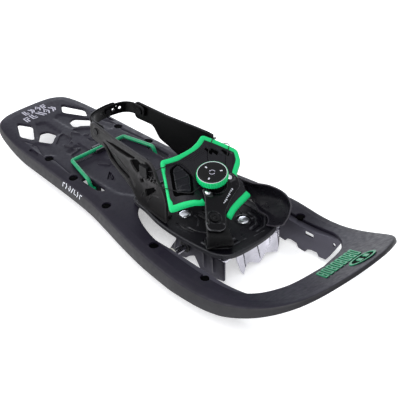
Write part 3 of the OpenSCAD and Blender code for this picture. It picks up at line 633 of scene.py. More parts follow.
RIM_DEPTH, RIM_THINNED = 18.0, 11.5  # depth along the sides, and what the rim loses at the ends
RIM_TOE, RIM_TAIL = 190, -195  # where the rim starts to thin
# Section of the deck's outer edge: distance inside the rim, and drop where the rim is deepest
EDGE_SECTION = np.array([(0, 18), (0.4, 14.5), (1.0, 10.5), (1.8, 7.2), (2.8, 4.6), (4.0, 2.9),
                         (5.6, 1.9), (8, 1.2), (11, 0.7), (13.2, 0.35), (14.2, 0), (400, 0)])
UNDER_SECTION = np.array([(0, 1), (3, 1), (4, 0.45), (7, 0.1), (10.5, 0), (400, 0)])
EDGE_LINES = (0.4, 1.0, 1.8, 2.8, 3.0, 4.0, 5.6, 8, 11, 13.2, 14.2)
# RIM_WALL is the width of the band of painted light on the rim's outer wall
# WELL_FLOOR is the radius of the painted shade on each rivet well's floor
HOLE_EDGE, WELL_RADIUS, WELL_FLOOR, RIM_WALL = 1.1, 5.6, 5.4, 2.5
# Relief of the deck's right half: shape, points, corner radius or strip width, height and slope
DECK_RELIEF = (
    # Sunk facets round the tail windows, and the stepped panels in front of them
    (rounded, [(7, -238), (20, -243), (39, -212), (30, -196), (8, -200)], 3, -1.3, 2.2),
    (rounded, [(8, -197), (14, -196), (31, -181), (22, -170), (8, -176)], 2, -1.4, 1.6),
    (strip, [(2, -192), (14, -170)], 3, 1.1, 1.6),
    (strip, [(24.3, -171.5), (17.9, -152)], 2.2, 1.3, 1.0),
    (rounded, [(38, -186), (48, -204), (57, -200), (59, -171), (47, -160)], 4, -0.9, 2.4),
    (rounded, [(8, -166), (14, -150), (33, -146), (37, -128), (8, -126)], 4, -1.4, 2.2),
    (rounded, [(8, -118), (41, -118), (45, -96), (44, -40), (30, -18), (8, -18)], 5, -1.2, 2.2),
    (strip, [(19.2, -107), (10.5, -94.5)], 2.6, 1.3, 1.2),
    (strip, [(56, -218), (50.5, -197), (58.5, -171.5), (55, -150), (59, -112)], 1.6, -0.7, 1.2),
    # Drain pockets and ribs ahead of the heel
    (rounded, [(20, -84), (33, -72), (29, -64), (24, -70)], 1.5, -2.2, 0.8),
    (strip, [(22, -78), (27, -70)], 1.6, 1.6, 0.6),
    (strip, [(7, -74), (15, -60)], 3.4, 1.2, 1.4),
    (strip, [(12, -158), (32, -152)], 7, -1.2, 2.5),
    (rounded, [(60, -196), (64, -196), (64, -176), (60, -180)], 1.5, -2, 0.7),
)


def rise(y):
    toe = TOE_RISE * np.clip((y - TOE_START) / (TOE_Y - TOE_START), 0, 2) ** 1.95
    return toe + TAIL_RISE * np.clip((y - TAIL_START) / (TAIL_Y - TAIL_START), 0, 2) ** 1.3


def rim_depth(y):
    toe, tail = (y - RIM_TOE) / (TOE_Y - RIM_TOE), (y - RIM_TAIL) / (TAIL_Y - RIM_TAIL)
    return RIM_DEPTH - RIM_THINNED * np.maximum(np.maximum(toe, tail), 0)


def both(shape):
    shape = np.array(shape, float)
    return [shape, shape * (-1, 1)]


def deck_height(p):
    """Top of the flat part of the deck, for pieces that lie on it."""
    return DECK_TOP + rise(p[:, 1])


def build_deck():
    rim_loop = mirrored(RIM_HALF)
    windows = [rounded(w, radius) for half, radius in (
        (REAR_WINDOW, 5), (FRONT_WINDOW, 3.5), (BAIL_SLOT, 3)) for w in both(half)]
    holes = [as_hole(w) for w in [mirrored(OPENING_HALF)] + windows]
    relief = []
    for side in ((1, 1), (-1, 1)):
        relief += [(circle(np.array(spot) * side, WELL_RADIUS), -2.4, 0.5)
                   for spot in RIVET_SPOTS]
        relief += [(shape(np.array(points) * side, size), height, width)
                   for shape, points, size, height, width in DECK_RELIEF]
    relief = [(as_outline(dense(l, 4.0)), height, width) for l, height, width in relief]
    rings = [rim_loop] + [inset(rim_loop, d) for d in EDGE_LINES]
    for loop in holes:
        rings += [loop] + edge_rings(loop, HOLE_EDGE)
    xy, tris = triangulate(rings + relief_rings(relief), within([rim_loop] + holes), 4.0)
    outer = distance(xy, rim_loop)
    d_hole = np.min([distance(xy, loop) for loop in holes], axis=0)
    depth = rim_depth(xy[:, 1])
    # The lip of the edge fades where the rim is thin, at the toe and the tail
    drop = np.interp(outer, EDGE_SECTION[:, 0], EDGE_SECTION[:, 1]) * (depth / RIM_DEPTH)
    top = deck_height(xy)
    up = top - drop - rounding(d_hole, HOLE_EDGE) + relieved(xy, relief)
    under = DECK_T + np.interp(outer, UNDER_SECTION[:, 0], UNDER_SECTION[:, 1]) * (depth - DECK_T)
    down = np.minimum(top - under + rounding(d_hole, 0.4), up - THINNEST)
    outer_edge = outer < 1e-4
    down[outer_edge] = up[outer_edge] = (top - depth)[outer_edge]
    faces = double_sheet(xy, tris, outer_edge)
    middles = xy[tris].mean(axis=1)
    # Painted shade on the floors of the rivet wells
    wells = np.any([np.hypot(*(middles - spot).T) < WELL_FLOOR
                    for spot in np.vstack(both(RIVET_SPOTS))], axis=0)
    # Painted light on the rim's outer wall, lighter than the deck top
    walls = distance(middles, rim_loop) < RIM_WALL
    piece("moulded_deck", np.vstack([flat_place(xy, up), flat_place(xy, down)]), faces,
          deck_plastic, "deck_frame", ["deck"], angle=32,
          others=((painted_recess_shade, np.flatnonzero(wells)), (rim_painted_light, np.flatnonzero(walls))))


# ---- instep hood and tongue ----

HOOD_Y, HOOD_Z, TILT = 72.0, 90.5, math.radians(26.57)
DIAL_TILT, DIAL_LEAN = math.radians(6.4), math.radians(10.8)
HOOD_LINE = rounded([(35, 31), (24, 33.5), (10, 35), (-10, 34.5), (-24, 31), (-34, 26.5),
                     (-47, 42), (-58, 58), (-58.5, 62), (-52, 73), (-33, 84), (-33.5, 107),
                     (-10, 112.5), (12, 119.5), (7, 105), (16, 95), (28, 92.5), (40, 85),
                     (53, 75), (57, 70), (50, 58), (43, 46)], 4.5)[::-1]
HOOD_BEND, BEND_X, BEND_POWER = 0.107, 32, 1.585  # of the hood's curved right side
RIM_W = 5.5
DIAL_FOOT = np.array((-1, 78.7, 90.2))


def hood_height(p):
    """The hood's plane, which curves down at its right side."""
    drop = HOOD_BEND * np.clip(p[:, 0] - BEND_X, 0, 99) ** BEND_POWER
    return HOOD_Z - (p[:, 1] - HOOD_Y) * math.tan(TILT) - drop


def on_hood(p, w):
    """From the hood's sloping frame to the row's: p is (across, down the slope), w is outward."""
    s, c = math.sin(TILT), math.cos(TILT)
    return np.column_stack([p[:, 0], HOOD_Y + p[:, 1] * c + w * s, HOOD_Z - p[:, 1] * s + w * c])


def on_dial(p, w):
    """From the dial's own frame to the row's: p is square to its axis, w is along it."""
    st, ct = math.sin(DIAL_TILT), math.cos(DIAL_TILT)
    sl, cl = math.sin(DIAL_LEAN), math.cos(DIAL_LEAN)
    across, down = np.array((cl, 0, -sl)), np.array((-st * sl, ct, -st * cl))
    out = np.array((ct * sl, st, ct * cl))
    return DIAL_FOOT + p[:, :1] * across + p[:, 1:2] * down + np.reshape(w, (-1, 1)) * out


def sloped(points):
    """Plan points on the hood in its sloping frame."""
    return [(x, (y - HOOD_Y) / math.cos(TILT)) for x, y in points]


def rim_width(p):
    """The main rim narrows along the hood's steep right side."""
    side = smooth((p[:, 0] - 37) / 5) * smooth((68 - p[:, 1]) / 6)
    front = smooth((p[:, 0] - 26) / 4) * smooth((p[:, 1] - 68) / 5)
    return RIM_W - 2.6 * side - 1.5 * front


def chain(start, end):
    """Stretch of the hood's outline between two points, anticlockwise."""
    line = dense(HOOD_LINE, 2.0)
    i, j = (int(np.argmin(np.linalg.norm(line - p, axis=1))) for p in (start, end))
    return line[i:j + 1] if i < j else np.vstack([line[i:], line[:j + 1]])


def inner_chain(part, width):
    """The stretch moved inwards, without the folds that the move makes at corners."""
    moved = inset(part, width)[1:-1]
    v = part[1] - part[0], part[-1] - part[-2]
    ends = [p + width[k] * np.array([-u[1], u[0]]) / np.linalg.norm(u)
            for p, u, k in ((part[0], v[0], 0), (part[-1], v[1], -1))]
    moved = np.vstack([ends[:1], moved, ends[1:]])
    clear = distance(moved, dense(HOOD_LINE, 2.0)) > 0.96 * width[:, 0]
    clear[[0, -1]] = True
    return moved[clear]


def build_hood():
    main = chain((-33.7, 86), (24.6, 93.6))
    front = chain((11, 112), (-33.5, 97))
    inner = inner_chain(main, rim_width(main)[:, None])
    rim = rounded(np.vstack([main, inner[::-1]]), 2.4, 3)
    moulded("hood_rim_band", [rim], 1.4, -3.8, green_rubber, "binding", ["hood_rim"], edge=1.9,
            low_edge=1.2, pitch=2.0, base=hood_height)
    rod = curve([(12.5, 117.2), (1.4, 112.8), (-9.3, 110.1), (-19.2, 108.3), (-30, 106.3)], 4)
    moulded("front_rim_band", [rounded(strip(rod, 6.0), 2.8, 6)], 1.8, -3.4, green_rubber,
            "binding", ["front_rim"], edge=2.6, low_edge=1.4, pitch=2.0, base=hood_height)
    plate = np.vstack([inner_chain(main, np.full((len(main), 1), 2.0)),
                       chain((24.6, 93.6), (11, 112))[1:-1],
                       inner_chain(front, np.full((len(front), 1), 3.0)),
                       chain((-33.5, 97), (-33.7, 86))[1:-1]])
    pad = rounded([(30, 47), (20, 44.8), (17.4, 61), (29.5, 76), (42.5, 66)], 3)
    outer_pad = rounded([(32, 44.2), (18.2, 41.4), (13.6, 60.5), (29.5, 80.6), (46.5, 66.5)], 3)
    relief = [(outer_pad, -1.3, 0.8)]
    # Ribs that run along the hood behind the dial
    for k in range(5):
        relief.append((strip([(12 - 3.4 * k, 40.6 + 1.9 * k), (-8 - 1.5 * k, 39.6 + 1.6 * k),
                              (-25 - 1.2 * k, 38.4 + 1.9 * k)], 0.9), 0.8, 0.6))
    # Slanted marks on the left wing: the third is raised, and the others are sunk, with painted
    # shade on their floors
    marks = []
    for k in range(4):
        x, y = -23 - 5.6 * k, 42 + 3.4 * k
        marks.append(rounded([(x, y), (x - 4.6, y - 1.6), (x - 8.2, y + 6.4), (x - 3.0, y + 9.2)],
                             0.8, 2))
        relief.append((marks[-1], -1.1 if k != 2 else 0.9, 0.5))
    relief.append((rounded([(-49, 57), (-51, 62), (-38, 74), (-31, 76), (-34, 70)], 2), -0.9, 0.8))
    # Painted shade on the floors of the recess round the pad and of the sunk marks
    wells = [outer_pad, marks[0], marks[1], marks[3]]
    moulded("hood_shell", [plate], 0.0, -3.4, hood_plastic, "binding", ["instep_hood"], edge=0.8,
            relief=relief, pitch=2.5, base=hood_height, inlay=(wells, painted_recess_shade))
    ribs = [(inset(as_outline(pad), 1.8), -0.9, 0.7)]
    for line in ([(19, 52), (34, 49)], [(18.5, 60), (39, 57)], [(24, 68.5), (41, 64)]):
        ribs.append((strip(line, 1.5), 0.8, 0.5))
    moulded("hood_pad", [as_outline(pad)], 1.5, -1.4, pad_plastic, "binding", ["hood_insert"],
            edge=0.7, relief=ribs, pitch=1.6, base=hood_height)


def build_tongue():
    # Scoop round the dial's base
    scoop = [(-1 + 14.8 * math.cos(a), 78.9 + 14.4 * math.sin(a))
             for a in np.radians(np.linspace(172, 8, 14))]
    line = rounded(sloped([(18, 80), (22, 88), (37, 105), (45, 114), (46.5, 119.5), (34.5, 127),
                           (27, 126.5), (14, 112), (-3, 104), (-25, 97), (-31, 87), (-29, 79)]
                          + scoop), 3.5)
    seat = sloped([(31, 112)])[0]
    rivets = sloped([(15.2, 85.6), (-21.8, 83)])
    relief = [(inset(as_outline(line), 2.2), 0.5, 1.4), (circle(seat, 7.6), -0.6, 0.7),
              (circle(seat, 8.8), 0.35, 0.7)]
    relief += [(circle(r, 3.7), -1.1, 0.4) for r in rivets]
    # Folded lip across the tongue's front end
    relief.append((strip(sloped([(26, 123), (44, 112)]), 2.0), 0.5, 1.2))
    moulded("tongue_plate", [line, circle(seat, 2.6)], 3.9, 1.5, gloss_plastic, "binding",
            ["tongue"], edge=0.9, relief=relief, pitch=2.2, place=on_hood)
    # Thin printed line of short strokes, in place of the mark
    for k in range(9):
        x, y, tall = 9 - 2.6 * k, 103.5 - 1.05 * k, 0.5 * (k % 3)
        stroke = rounded(sloped([(x, y), (x - 1.6, y - 0.6), (x - 1.9, y + 0.3 + tall),
                                 (x - 0.3, y + 0.9 + tall)]), 0.2, 2)
        printed(f"tongue_print_{k}", stroke, 4.47, 4.2, white_ink, "binding", place=on_hood)
    turned("tongue_stud", [(0, 5.4), (1.7, 5.4), (2.1, 5.1), (2.3, 4.9), (2.9, 5.6), (4.6, 5.7),
                           (5.2, 5.4), (5.5, 4.7), (5.4, 4.2), (2.5, 4.1), (2.5, -1.5), (0, -1.5)],
           gloss_black, "binding", lambda p, h: on_hood(p + np.array(seat), h),
           ["tongue_button"], n=40)
    head = [(0, 4.9), (1.2, 4.8), (2.4, 4.4), (3.2, 3.8), (3.3, 3.0), (0, 3.0)]
    for k, r in enumerate(rivets):
        turned(f"hood_rivet_{k}", head, rivet_steel, "binding",
               lambda p, h, r=r: on_hood(p + np.array(r), h), ["hood_rivets"], n=32)


# ---- dial ----

def build_dial():
    section = [(14.0, 5.5), (17.2, 5.4), (17.7, 5.9), (17.8, 6.8), (17.8, 9.0), (17.7, 11.0),
               (17.6, 12.4), (17.5, 13.1), (17.3, 13.5), (17.1, 13.5), (16.9, 13.2),
               (16.5, 10.0), (4.1, 9.8), (4.1, 7.2), (14.0, 7.1)]
    # Depth of the knurl at each point of the section
    depths = [0, 0.1, 0.3, 0.4, 0.45, 0.45, 0.4, 0.25, 0.05, 0, 0, 0, 0, 0, 0]

    def knurl(angle, row):
        return depths[row] * np.clip(np.cos(36 * angle), -0.4, 0.7)

    turned("dial_grip_ring", section, green_rubber, "dial_grip", on_dial, ["dial_ring"], n=288,
           wave=knurl, angle=45)
    turned("dial_face", [(0, 13.9), (6, 13.87), (11.5, 13.8), (15.3, 13.62), (16.0, 13.45),
                         (16.4, 13.1), (16.45, 10.05), (0, 10.05)], gloss_black, "dial_grip",
           on_dial, ["dial_cap"])
    turned("dial_face_ring", [(16.3, 13.3), (16.4, 13.62), (16.6, 13.7), (16.9, 13.6),
                              (17.0, 13.2)], white_ink, "dial_grip", on_dial)
    for k, turn in enumerate((25, 145, 265)):
        c, s = spoke(turn)
        mark = np.array([(-1.4, -0.7), (1.2, -0.9), (1.7, 0), (1.2, 0.9), (-1.4, 0.7)]) + (10.2, 0)
        mark = rounded(mark @ np.array([(c, s), (-s, c)]), 0.4, 2)
        printed(f"dial_mark_{k}", mark, 13.95, 13.6, white_ink, "dial_grip", place=on_dial)
    for k, (a, b) in enumerate(((150, 265), (330, 445))):
        arc = [3.2 * spoke(t) for t in np.linspace(a, b, 12)]
        out = spoke(b)
        head = [arc[-1] + step for step in (-out, out, 1.5 * np.array((-out[1], out[0])))]
        for name, shape in ((f"dial_arrow_{k}", strip(arc, 0.7)), (f"dial_arrow_tip_{k}", head)):
            printed(name, shape, 14.0, 13.7, tail_ink, "dial_grip", place=on_dial)


# ---- side arms ----

ARM_LINE = [(-90, 88), (-93, 91), (-93, 108), (-89, 111.5), (-40, 110), (10, 112), (27, 112),
            (34, 108), (40, 96), (52, 84), (56, 72), (56, 43.2), (2, 43.2), (-12, 57), (-34, 67),
            (-52, 73), (-62, 88)]
# An arm's plate starts at (x, y) and spreads outwards over its length
ARM_X, ARM_Y, ARM_SPREAD, ARM_LENGTH, ARM_COS, ARM_SIN = 33, -92, 13, 144, 0.996, 0.09


def build_arm(name, sign, finish):
    def place(p, w):
        """p is (y, height) and w is outward."""
        x = ARM_X + (p[:, 0] - ARM_Y) * ARM_SPREAD / ARM_LENGTH + w * ARM_COS
        return np.column_stack([sign * x, p[:, 0] - w * ARM_SIN, p[:, 1]])

    line = as_outline(rounded(ARM_LINE, 5))
    # Truss: deep pockets between the upper beam, a slanted strut and the lower beam
    pockets = [rounded(s, 1.6, 3) for s in (
        [(-60, 99.5), (-46, 102), (-20, 104), (0, 105), (-3, 102), (-16, 98.5), (-36, 97.5)],
        [(-67, 95), (-60, 94), (-37, 78), (-13, 71.5), (-18, 68), (-36, 71), (-53, 78)],
        [(-11, 97), (3, 104.5), (13, 102), (9, 92), (1, 86), (-7, 90)],
        [(16, 70), (35, 83), (38, 80), (18, 61)])]
    for k in range(5):
        y, z = 12.5 + 5.2 * k, 84.5 + 1.0 * k
        pockets.append(rounded([(y, z), (y + 3.0, z + 0.9), (y + 6.4, z + 11.4 - k),
                                (y + 3.6, z + 10.6 - k)], 0.5, 2))
    pockets.append(rounded([(7, 80), (13, 83.5), (15, 80.5), (9, 76.5)], 0.6, 2))
    relief = [(inset(line, 2.4), -0.5, 0.8)] + [(p, -1.9, 0.7) for p in pockets]
    relief += [(strip([(-57, 96), (-34, 84.5), (-13, 76), (-4, 62)], 4.4), 0.7, 1.2),
               (strip([(-48, 93), (-14, 79)], 1.0), -0.5, 0.6),
               (circle((-80, 103), 6.2), 0.6, 0.8),
               (strip([(8, 56), (14, 67), (20, 55), (30, 70), (44, 74)], 1.5), 0.7, 0.7),
               (strip([(24, 64), (38, 84)], 1.2), 0.6, 0.6)]
    # The pocket floors get painted shade, a near-black inlay
    moulded(f"{name}_plate", [line, circle((-80, 103), 2.6, 20)], 3.5, 0, finish, "binding",
            [name], edge=0.9, low_edge=0.7, relief=relief, place=place,
            inlay=([inset(as_outline(p), 0.2) for p in pockets], painted_recess_shade))
    foot = rounded([(32, 8), (43.4, 8), (47, 48), (33, 48)], 3) * (sign, 1)
    moulded(f"{name}_foot", [as_outline(foot)], 45.6, 43.2, finish, "binding", [name], edge=0.8,
            pitch=4)


# ---- toe crampon ----

CRAMPON_SIDE = [(66, 37.5), (143, 37.5), (143, 9.5), (132, 6.5), (117.5, 4.5), (107, 2), (102, 10),
                (96, 19), (91, 16), (87, 13), (81, 7), (60, 2), (54.5, 6), (60, 16), (65.5, 25)]
CRAMPON_FRONT = [(-45, 37.5), (-45, 11), (-43, 1.5), (-38, 4.5), (-22, 12.5), (-15.5, 4.6),
                 (-12.5, 3), (-4.3, 8), (4.1, 13.5), (8.5, 14), (13.6, 0.8), (17, 6), (25, 28),
                 (27, 37.5)]
CRAMPON_SIDE_X, CRAMPON_FRONT_Y, STEEL_T = 43, 141, 2.0


def build_crampon():
    top = [oblong(-45, 30, 45, 143, 1.5), oblong(-12, 56, 12, 96, 3)[::-1]]
    moulded("crampon_top", top, 37.5, 35.5, bright_steel, "binding", ["toe_crampon"], edge=0.4,
            low_edge=0.4, pitch=6)
    side = as_outline(rounded(CRAMPON_SIDE, 1.6, 3))
    relief = [(circle((82, 25), 9, 36), 0.5, 1.2),
              (strip([(112, 33), (112, 12)], 2.6), 0.9, 1.6),
              (strip([(126, 33), (127, 13)], 2.6), 0.9, 1.6),
              (strip([(68, 31), (64, 10)], 2.4), 0.8, 1.6),
              (inset(side, 1.2), 0.25, 0.8)]
    # The side plates take the darker painted-shade copy of the steel
    for sign, hand in ((1, "right"), (-1, "left")):
        moulded(f"crampon_side_{hand}", [side, circle((82, 25), 6, 36)], STEEL_T, 0,
                crampon_side_painted_shade, "binding", ["toe_crampon"], edge=0.4, low_edge=0.3, relief=relief,
                place=lambda p, w, sign=sign: np.column_stack(
                    [sign * (CRAMPON_SIDE_X + w), p[:, 0], p[:, 1]]))
    front = as_outline(rounded(CRAMPON_FRONT, 1.2, 3))
    relief, shaded_grooves = [], []
    # Each pressed rib has a sunk groove beside it whose floor is painted dark as the rib's shadow
    for a, b in (((18.5, 34), (13.2, 7.5)), ((-3, 35), (-10.5, 9)), ((-25, 35), (-25.5, 22)),
                 ((-38.5, 33), (-41.5, 8))):
        shaded_grooves.append(strip([np.array(a) + (-2.9, 0.5), np.array(b) + (-2.4, 0.5)], 1.7))
        relief += [(strip([a, b], 3.2), 1.2, 1.8), (shaded_grooves[-1], -0.6, 0.8)]
    relief.append((inset(front, 1.1), 0.25, 0.7))
    moulded("crampon_front", [front], STEEL_T, 0, bright_steel, "binding", ["toe_crampon"],
            edge=0.4, low_edge=0.3, relief=relief, pitch=2.2, inlay=(shaded_grooves, groove_painted_shade),
            place=lambda p, w: np.column_stack([p[:, 0], CRAMPON_FRONT_Y + w, p[:, 1]]))


# ---- footbed, toe strap and toe cup ----

FOOT_HALF = curve([(0, -14), (26, -14), (38, -13), (44.5, -6), (47, 16), (52, 40), (54, 66),
                   (53, 92), (50, 120), (47, 132), (40, 142), (30, 147), (14, 149), (0, 149.5)], 4)
FOOTBED_RIVETS = [(20, 54), (-20, 54), (20, 109), (-20, 109)]


def build_footbed():
    relief = [(oblong(-28, -6, 28, 42, 5), 0.5, 1.2)]
    relief += [(oblong(-22, y - 1, 22, y + 1, 0.8), 0.6, 0.6) for y in range(0, 42, 7)]
    for side in ((1, 1), (-1, 1)):
        for y in (54, 109):
            relief += [(circle((20 * side[0], y), 8), -1.2, 0.6),
                       (circle((20 * side[0], y), 9.6), 0.5, 0.8)]
        # Chevrons ahead of the front rivets, and ridges that point to the toe strap
        for shape, width, up in (
                ([(12, 126.5), (24, 125), (32, 116), (33, 104)], 2.2, 1.1),
                ([(12, 131), (26, 130), (37, 119.5), (38.5, 104)], 2.0, -1.2),
                ([(14, 135.5), (28, 134.5), (42, 122), (43.5, 106)], 1.8, 1.0),
                ([(11, 122), (20, 121.5), (27.5, 114)], 1.2, -0.8),
                ([(34.5, 76), (33, 88), (27, 99)], 1.6, 1.0),
                ([(14.6, 64), (18, 75), (26, 82)], 1.8, 1.0),
                ([(39, 60), (40, 74), (37, 86)], 1.4, -0.8)):
            relief.append((strip(np.array(shape) * side, width), up, 0.7))
    line = mirrored(FOOT_HALF)
    relief += [(strip([(22, 134), (3, 135.5)], 1.6), 0.8, 0.7),
               (strip([(-22, 140), (-6, 139)], 1.4), 0.7, 0.7),
               (rounded([(-41.5, 88), (-46, 89), (-47.5, 106), (-42.5, 106)], 0.8), 0.8, 0.7),
               (inset(line, 2.6), -0.45, 0.7)]
    holes = [oblong(x - 1.5, 62, x + 1.5, 96, 1.4)[::-1] for x in (-9, 0, 9)]
    moulded("footbed_plate", [line] + holes, 43, 37.6, footbed_plastic, "binding", ["footbed"],
            edge=1.4, low_edge=0.8, relief=relief)
    head = [(0, 43.45), (2.2, 43.4), (4.2, 43.2), (5.6, 42.9), (6.5, 42.5), (6.9, 41.9),
            (6.9, 41.6), (0, 41.6)]
    for k, (x, y) in enumerate(FOOTBED_RIVETS):
        turned(f"footbed_rivet_{k}", head, rivet_steel, "binding",
               lambda p, h, x=x, y=y: flat_place(p + (x, y), h), ["footbed_rivets"], n=48)


STRAP_ROWS = [[(40, 108, 44.6), (18, 124, 44.6)], [(46.5, 117, 44.8), (24.5, 133, 44.8)],
              [(50, 122, 47.5), (28, 138, 47.5)], [(50, 123, 53), (28, 138.5, 53)],
              [(48.5, 121, 61), (27, 134, 59.5)], [(44, 116, 66.6), (23, 125.5, 62.1)],
              [(40, 110, 70.2), (18, 118, 66.2)], [(35, 104, 73.2), (14, 111, 69.7)]]
CUP_ROWS = [[(-48.5, 84, 56), (-48, 84, 62), (-44, 84, 72), (-37, 84, 80)],
            [(-49.5, 98, 46.5), (-52, 98, 50), (-53, 98, 64), (-42, 99, 78)],
            [(-43, 112, 44.8), (-50.5, 114, 45.4), (-58, 115, 60), (-54, 116, 76)],
            [(-42, 125, 44.8), (-49.5, 127, 45.4), (-60, 130, 58), (-60, 133, 71.5)],
            [(-39, 130, 44.8), (-46, 137, 45.4), (-57, 143, 56), (-56, 147, 66)],
            [(-34, 135, 44.8), (-40, 143, 45.4), (-47, 150, 51), (-47, 153, 57)],
            [(-29, 137, 44.8), (-33, 145.5, 45.4), (-37, 151, 47.5), (-38, 153.5, 49.5)]]


def build_toe():
    rows = curve(np.array(STRAP_ROWS).reshape(8, 6), 10).reshape(-1, 2, 3)
    share = np.linspace(0, 1, 13)[None, :, None]
    grid = rows[:, :1] * (1 - share) + rows[:, 1:] * share
    band("toe_strap_band", grid, 2.2, strap_rubber, "binding", ["toe_strap"])
    rows = curve(np.array(CUP_ROWS).reshape(7, 12), 8).reshape(-1, 4, 3)
    grid = np.array([curve(r, 8) for r in rows])
    band("toe_cup_shell", grid, 2.0, cup_plastic, "binding", ["toe_cup"])


# ---- heel strap ----

STRAP_HOLES, LAP_HOLES, STRAP_Z = (-19, -10, -1, 8), (17, 8, -1, -10), 103


def build_heel_strap():
    half = [(31.4, -72), (31.4, -88), (30.6, -94), (26, -101), (17, -105.5), (0, -107.5)]
    path = curve(half + [(-x, y) for x, y in half[-2::-1]], 24)
    length = np.concatenate([[0], np.cumsum(np.linalg.norm(np.diff(path, axis=0), axis=1))])
    way = unit(np.gradient(path, axis=0))

    def along(p, w):
        """p is (distance along the strap, height) and w is towards its outside."""
        x, y = (np.interp(p[:, 0], length, path[:, k]) for k in (0, 1))
        tx, ty = (np.interp(p[:, 0], length, way[:, k]) for k in (0, 1))
        return np.column_stack([x + ty * -w, y + tx * w, p[:, 1]])

    def at(x):
        return float(np.interp(-x, -path[:, 0][way[:, 0] < -0.2], length[way[:, 0] < -0.2]))

    end = length[-1]
    holes = [circle((at(x), STRAP_Z), 2.0, 20) for x in STRAP_HOLES]
    holes += [circle((at(x), z), 0.7, 12) for x, z in ((-14.5, 106.5), (-5.5, 99.5), (3.5, 106.5))]
    holes += [circle((s, STRAP_Z), 2.4, 20) for s in (8.0, end - 8.0)]
    relief = [(oblong(3, 97.4, end - 3, 108.6, 4), -0.35, 0.6)]
    relief += [(circle((at(x), STRAP_Z), 3.2, 24), 0.45, 0.5) for x in STRAP_HOLES]
    moulded("heel_strap_band", [oblong(0, 95.5, end, 110.5, 6)] + holes, 1.1, -1.1, strap_rubber,
            "heel_strap_loop", ["heel_strap"], edge=0.7, low_edge=0.7, relief=relief, pitch=2.4,
            place=along)
    a, b = at(26.5), at(-14.5)
    holes = [circle((at(x), STRAP_Z), 2.0, 20) for x in LAP_HOLES]
    relief = [(oblong(a + 2, 96.6, b - 2, 109.4, 3), -0.4, 0.6)]
    relief += [(oblong(s - 0.5, 98, s + 0.5, 108, 0.4, 2), 0.4, 0.4)
               for s in np.arange(a + 16, b - 9, 2.2)]
    moulded("strap_keeper_band", [oblong(a, 94.5, b, 111.5, 4)] + holes, 3.2, 1.25, strap_rubber,
            "heel_strap_loop", ["strap_keeper"], edge=0.7, low_edge=0.4, relief=relief,
            pitch=2.4, place=along)


# ---- bail and lace ----

BAIL_RADIUS, LACE_RADIUS, LACE_EXIT_RADIUS, LACE_EXIT_UP = 2.5, 0.5, 13.9, 3.3


def build_bail():
    half = [(44.2, -78, 27), (50, -78, 27), (52.3, -78.5, 28), (53, -80.6, 32), (53, -83.6, 38),
            (52.8, -86.5, 39.8), (51.9, -91, 40), (47.6, -109, 40), (43.4, -126, 40),
            (42.2, -129.6, 40), (39, -131, 40), (20, -131, 40), (0, -131, 40)]
    path = curve(half + [(-x, y, z) for x, y, z in half[-2::-1]], 8)
    tube("bail_wire", path, BAIL_RADIUS, green_wire, "bail", ["heel_lift_bail"], 20)


def build_lace():
    def out_of_dial(turn):
        return tuple(on_dial(LACE_EXIT_RADIUS * spoke(turn)[None], LACE_EXIT_UP)[0])

    def lie(x, y, up):
        """A point at a height over the hood."""
        return (x, y, float(hood_height(np.array([(x, y)]))[0]) + up)

    # Round the guide on an arm
    guide = [(49.8, 28, 103.2), (49.8, 20.5, 103), (49.8, 19.2, 101.5), (49.8, 19.2, 98.5),
             (49.8, 20.5, 97)]
    right = [out_of_dial(-30), lie(14.2, 69.3, 1.15), lie(14.4, 64, 1.5), lie(12.5, 56, 1.8),
             lie(14, 46, 1.7), lie(20, 42, 1.7), lie(31, 40, 2.4), lie(37, 40.5, 3),
             (42, 41, 109.5), (47, 40, 108.5), (50.6, 34, 105.5), *guide, (49.8, 29, 97),
             (50.6, 38, 95.5), (51.5, 50, 93), lie(46.5, 60, 3.6), lie(41, 69, 2.6),
             lie(32, 77.5, 1.7), lie(22, 77.4, 1.9), lie(17, 77.4, 2.5), out_of_dial(-6)]
    left = [out_of_dial(214), lie(-18, 55, 1.7), lie(-27, 46, 1.7), lie(-35.5, 41, 2.0),
            lie(-39.5, 38.6, 2.2), lie(-43.5, 37.2, 1.6), (-47.3, 36.6, 106.8),
            (-50.6, 33, 105.5), *((-x, y, z) for x, y, z in guide), (-49.8, 27, 97),
            (-51.6, 37, 98.5), (-54.2, 47, 101.6), lie(-53.4, 52.5, 2.6), lie(-47, 57, 2.0),
            lie(-39, 63, 2), lie(-30, 71, 1.7), lie(-21, 74.5, 3.8), out_of_dial(190)]
    for hand, points in (("right", right), ("left", left)):
        tube(f"lace_{hand}", curve(points, 8), LACE_RADIUS, lace_cord, "binding", ["lace"], 12)


# ---- toe badge and printed graphics ----

BAR_X, BAR_Y, BAR_STEP, BAR_SLANT, BAR_LENGTH = 15.5, 245, 7.1, 0.48, 21
OVAL_CENTRE = (-11, 278)


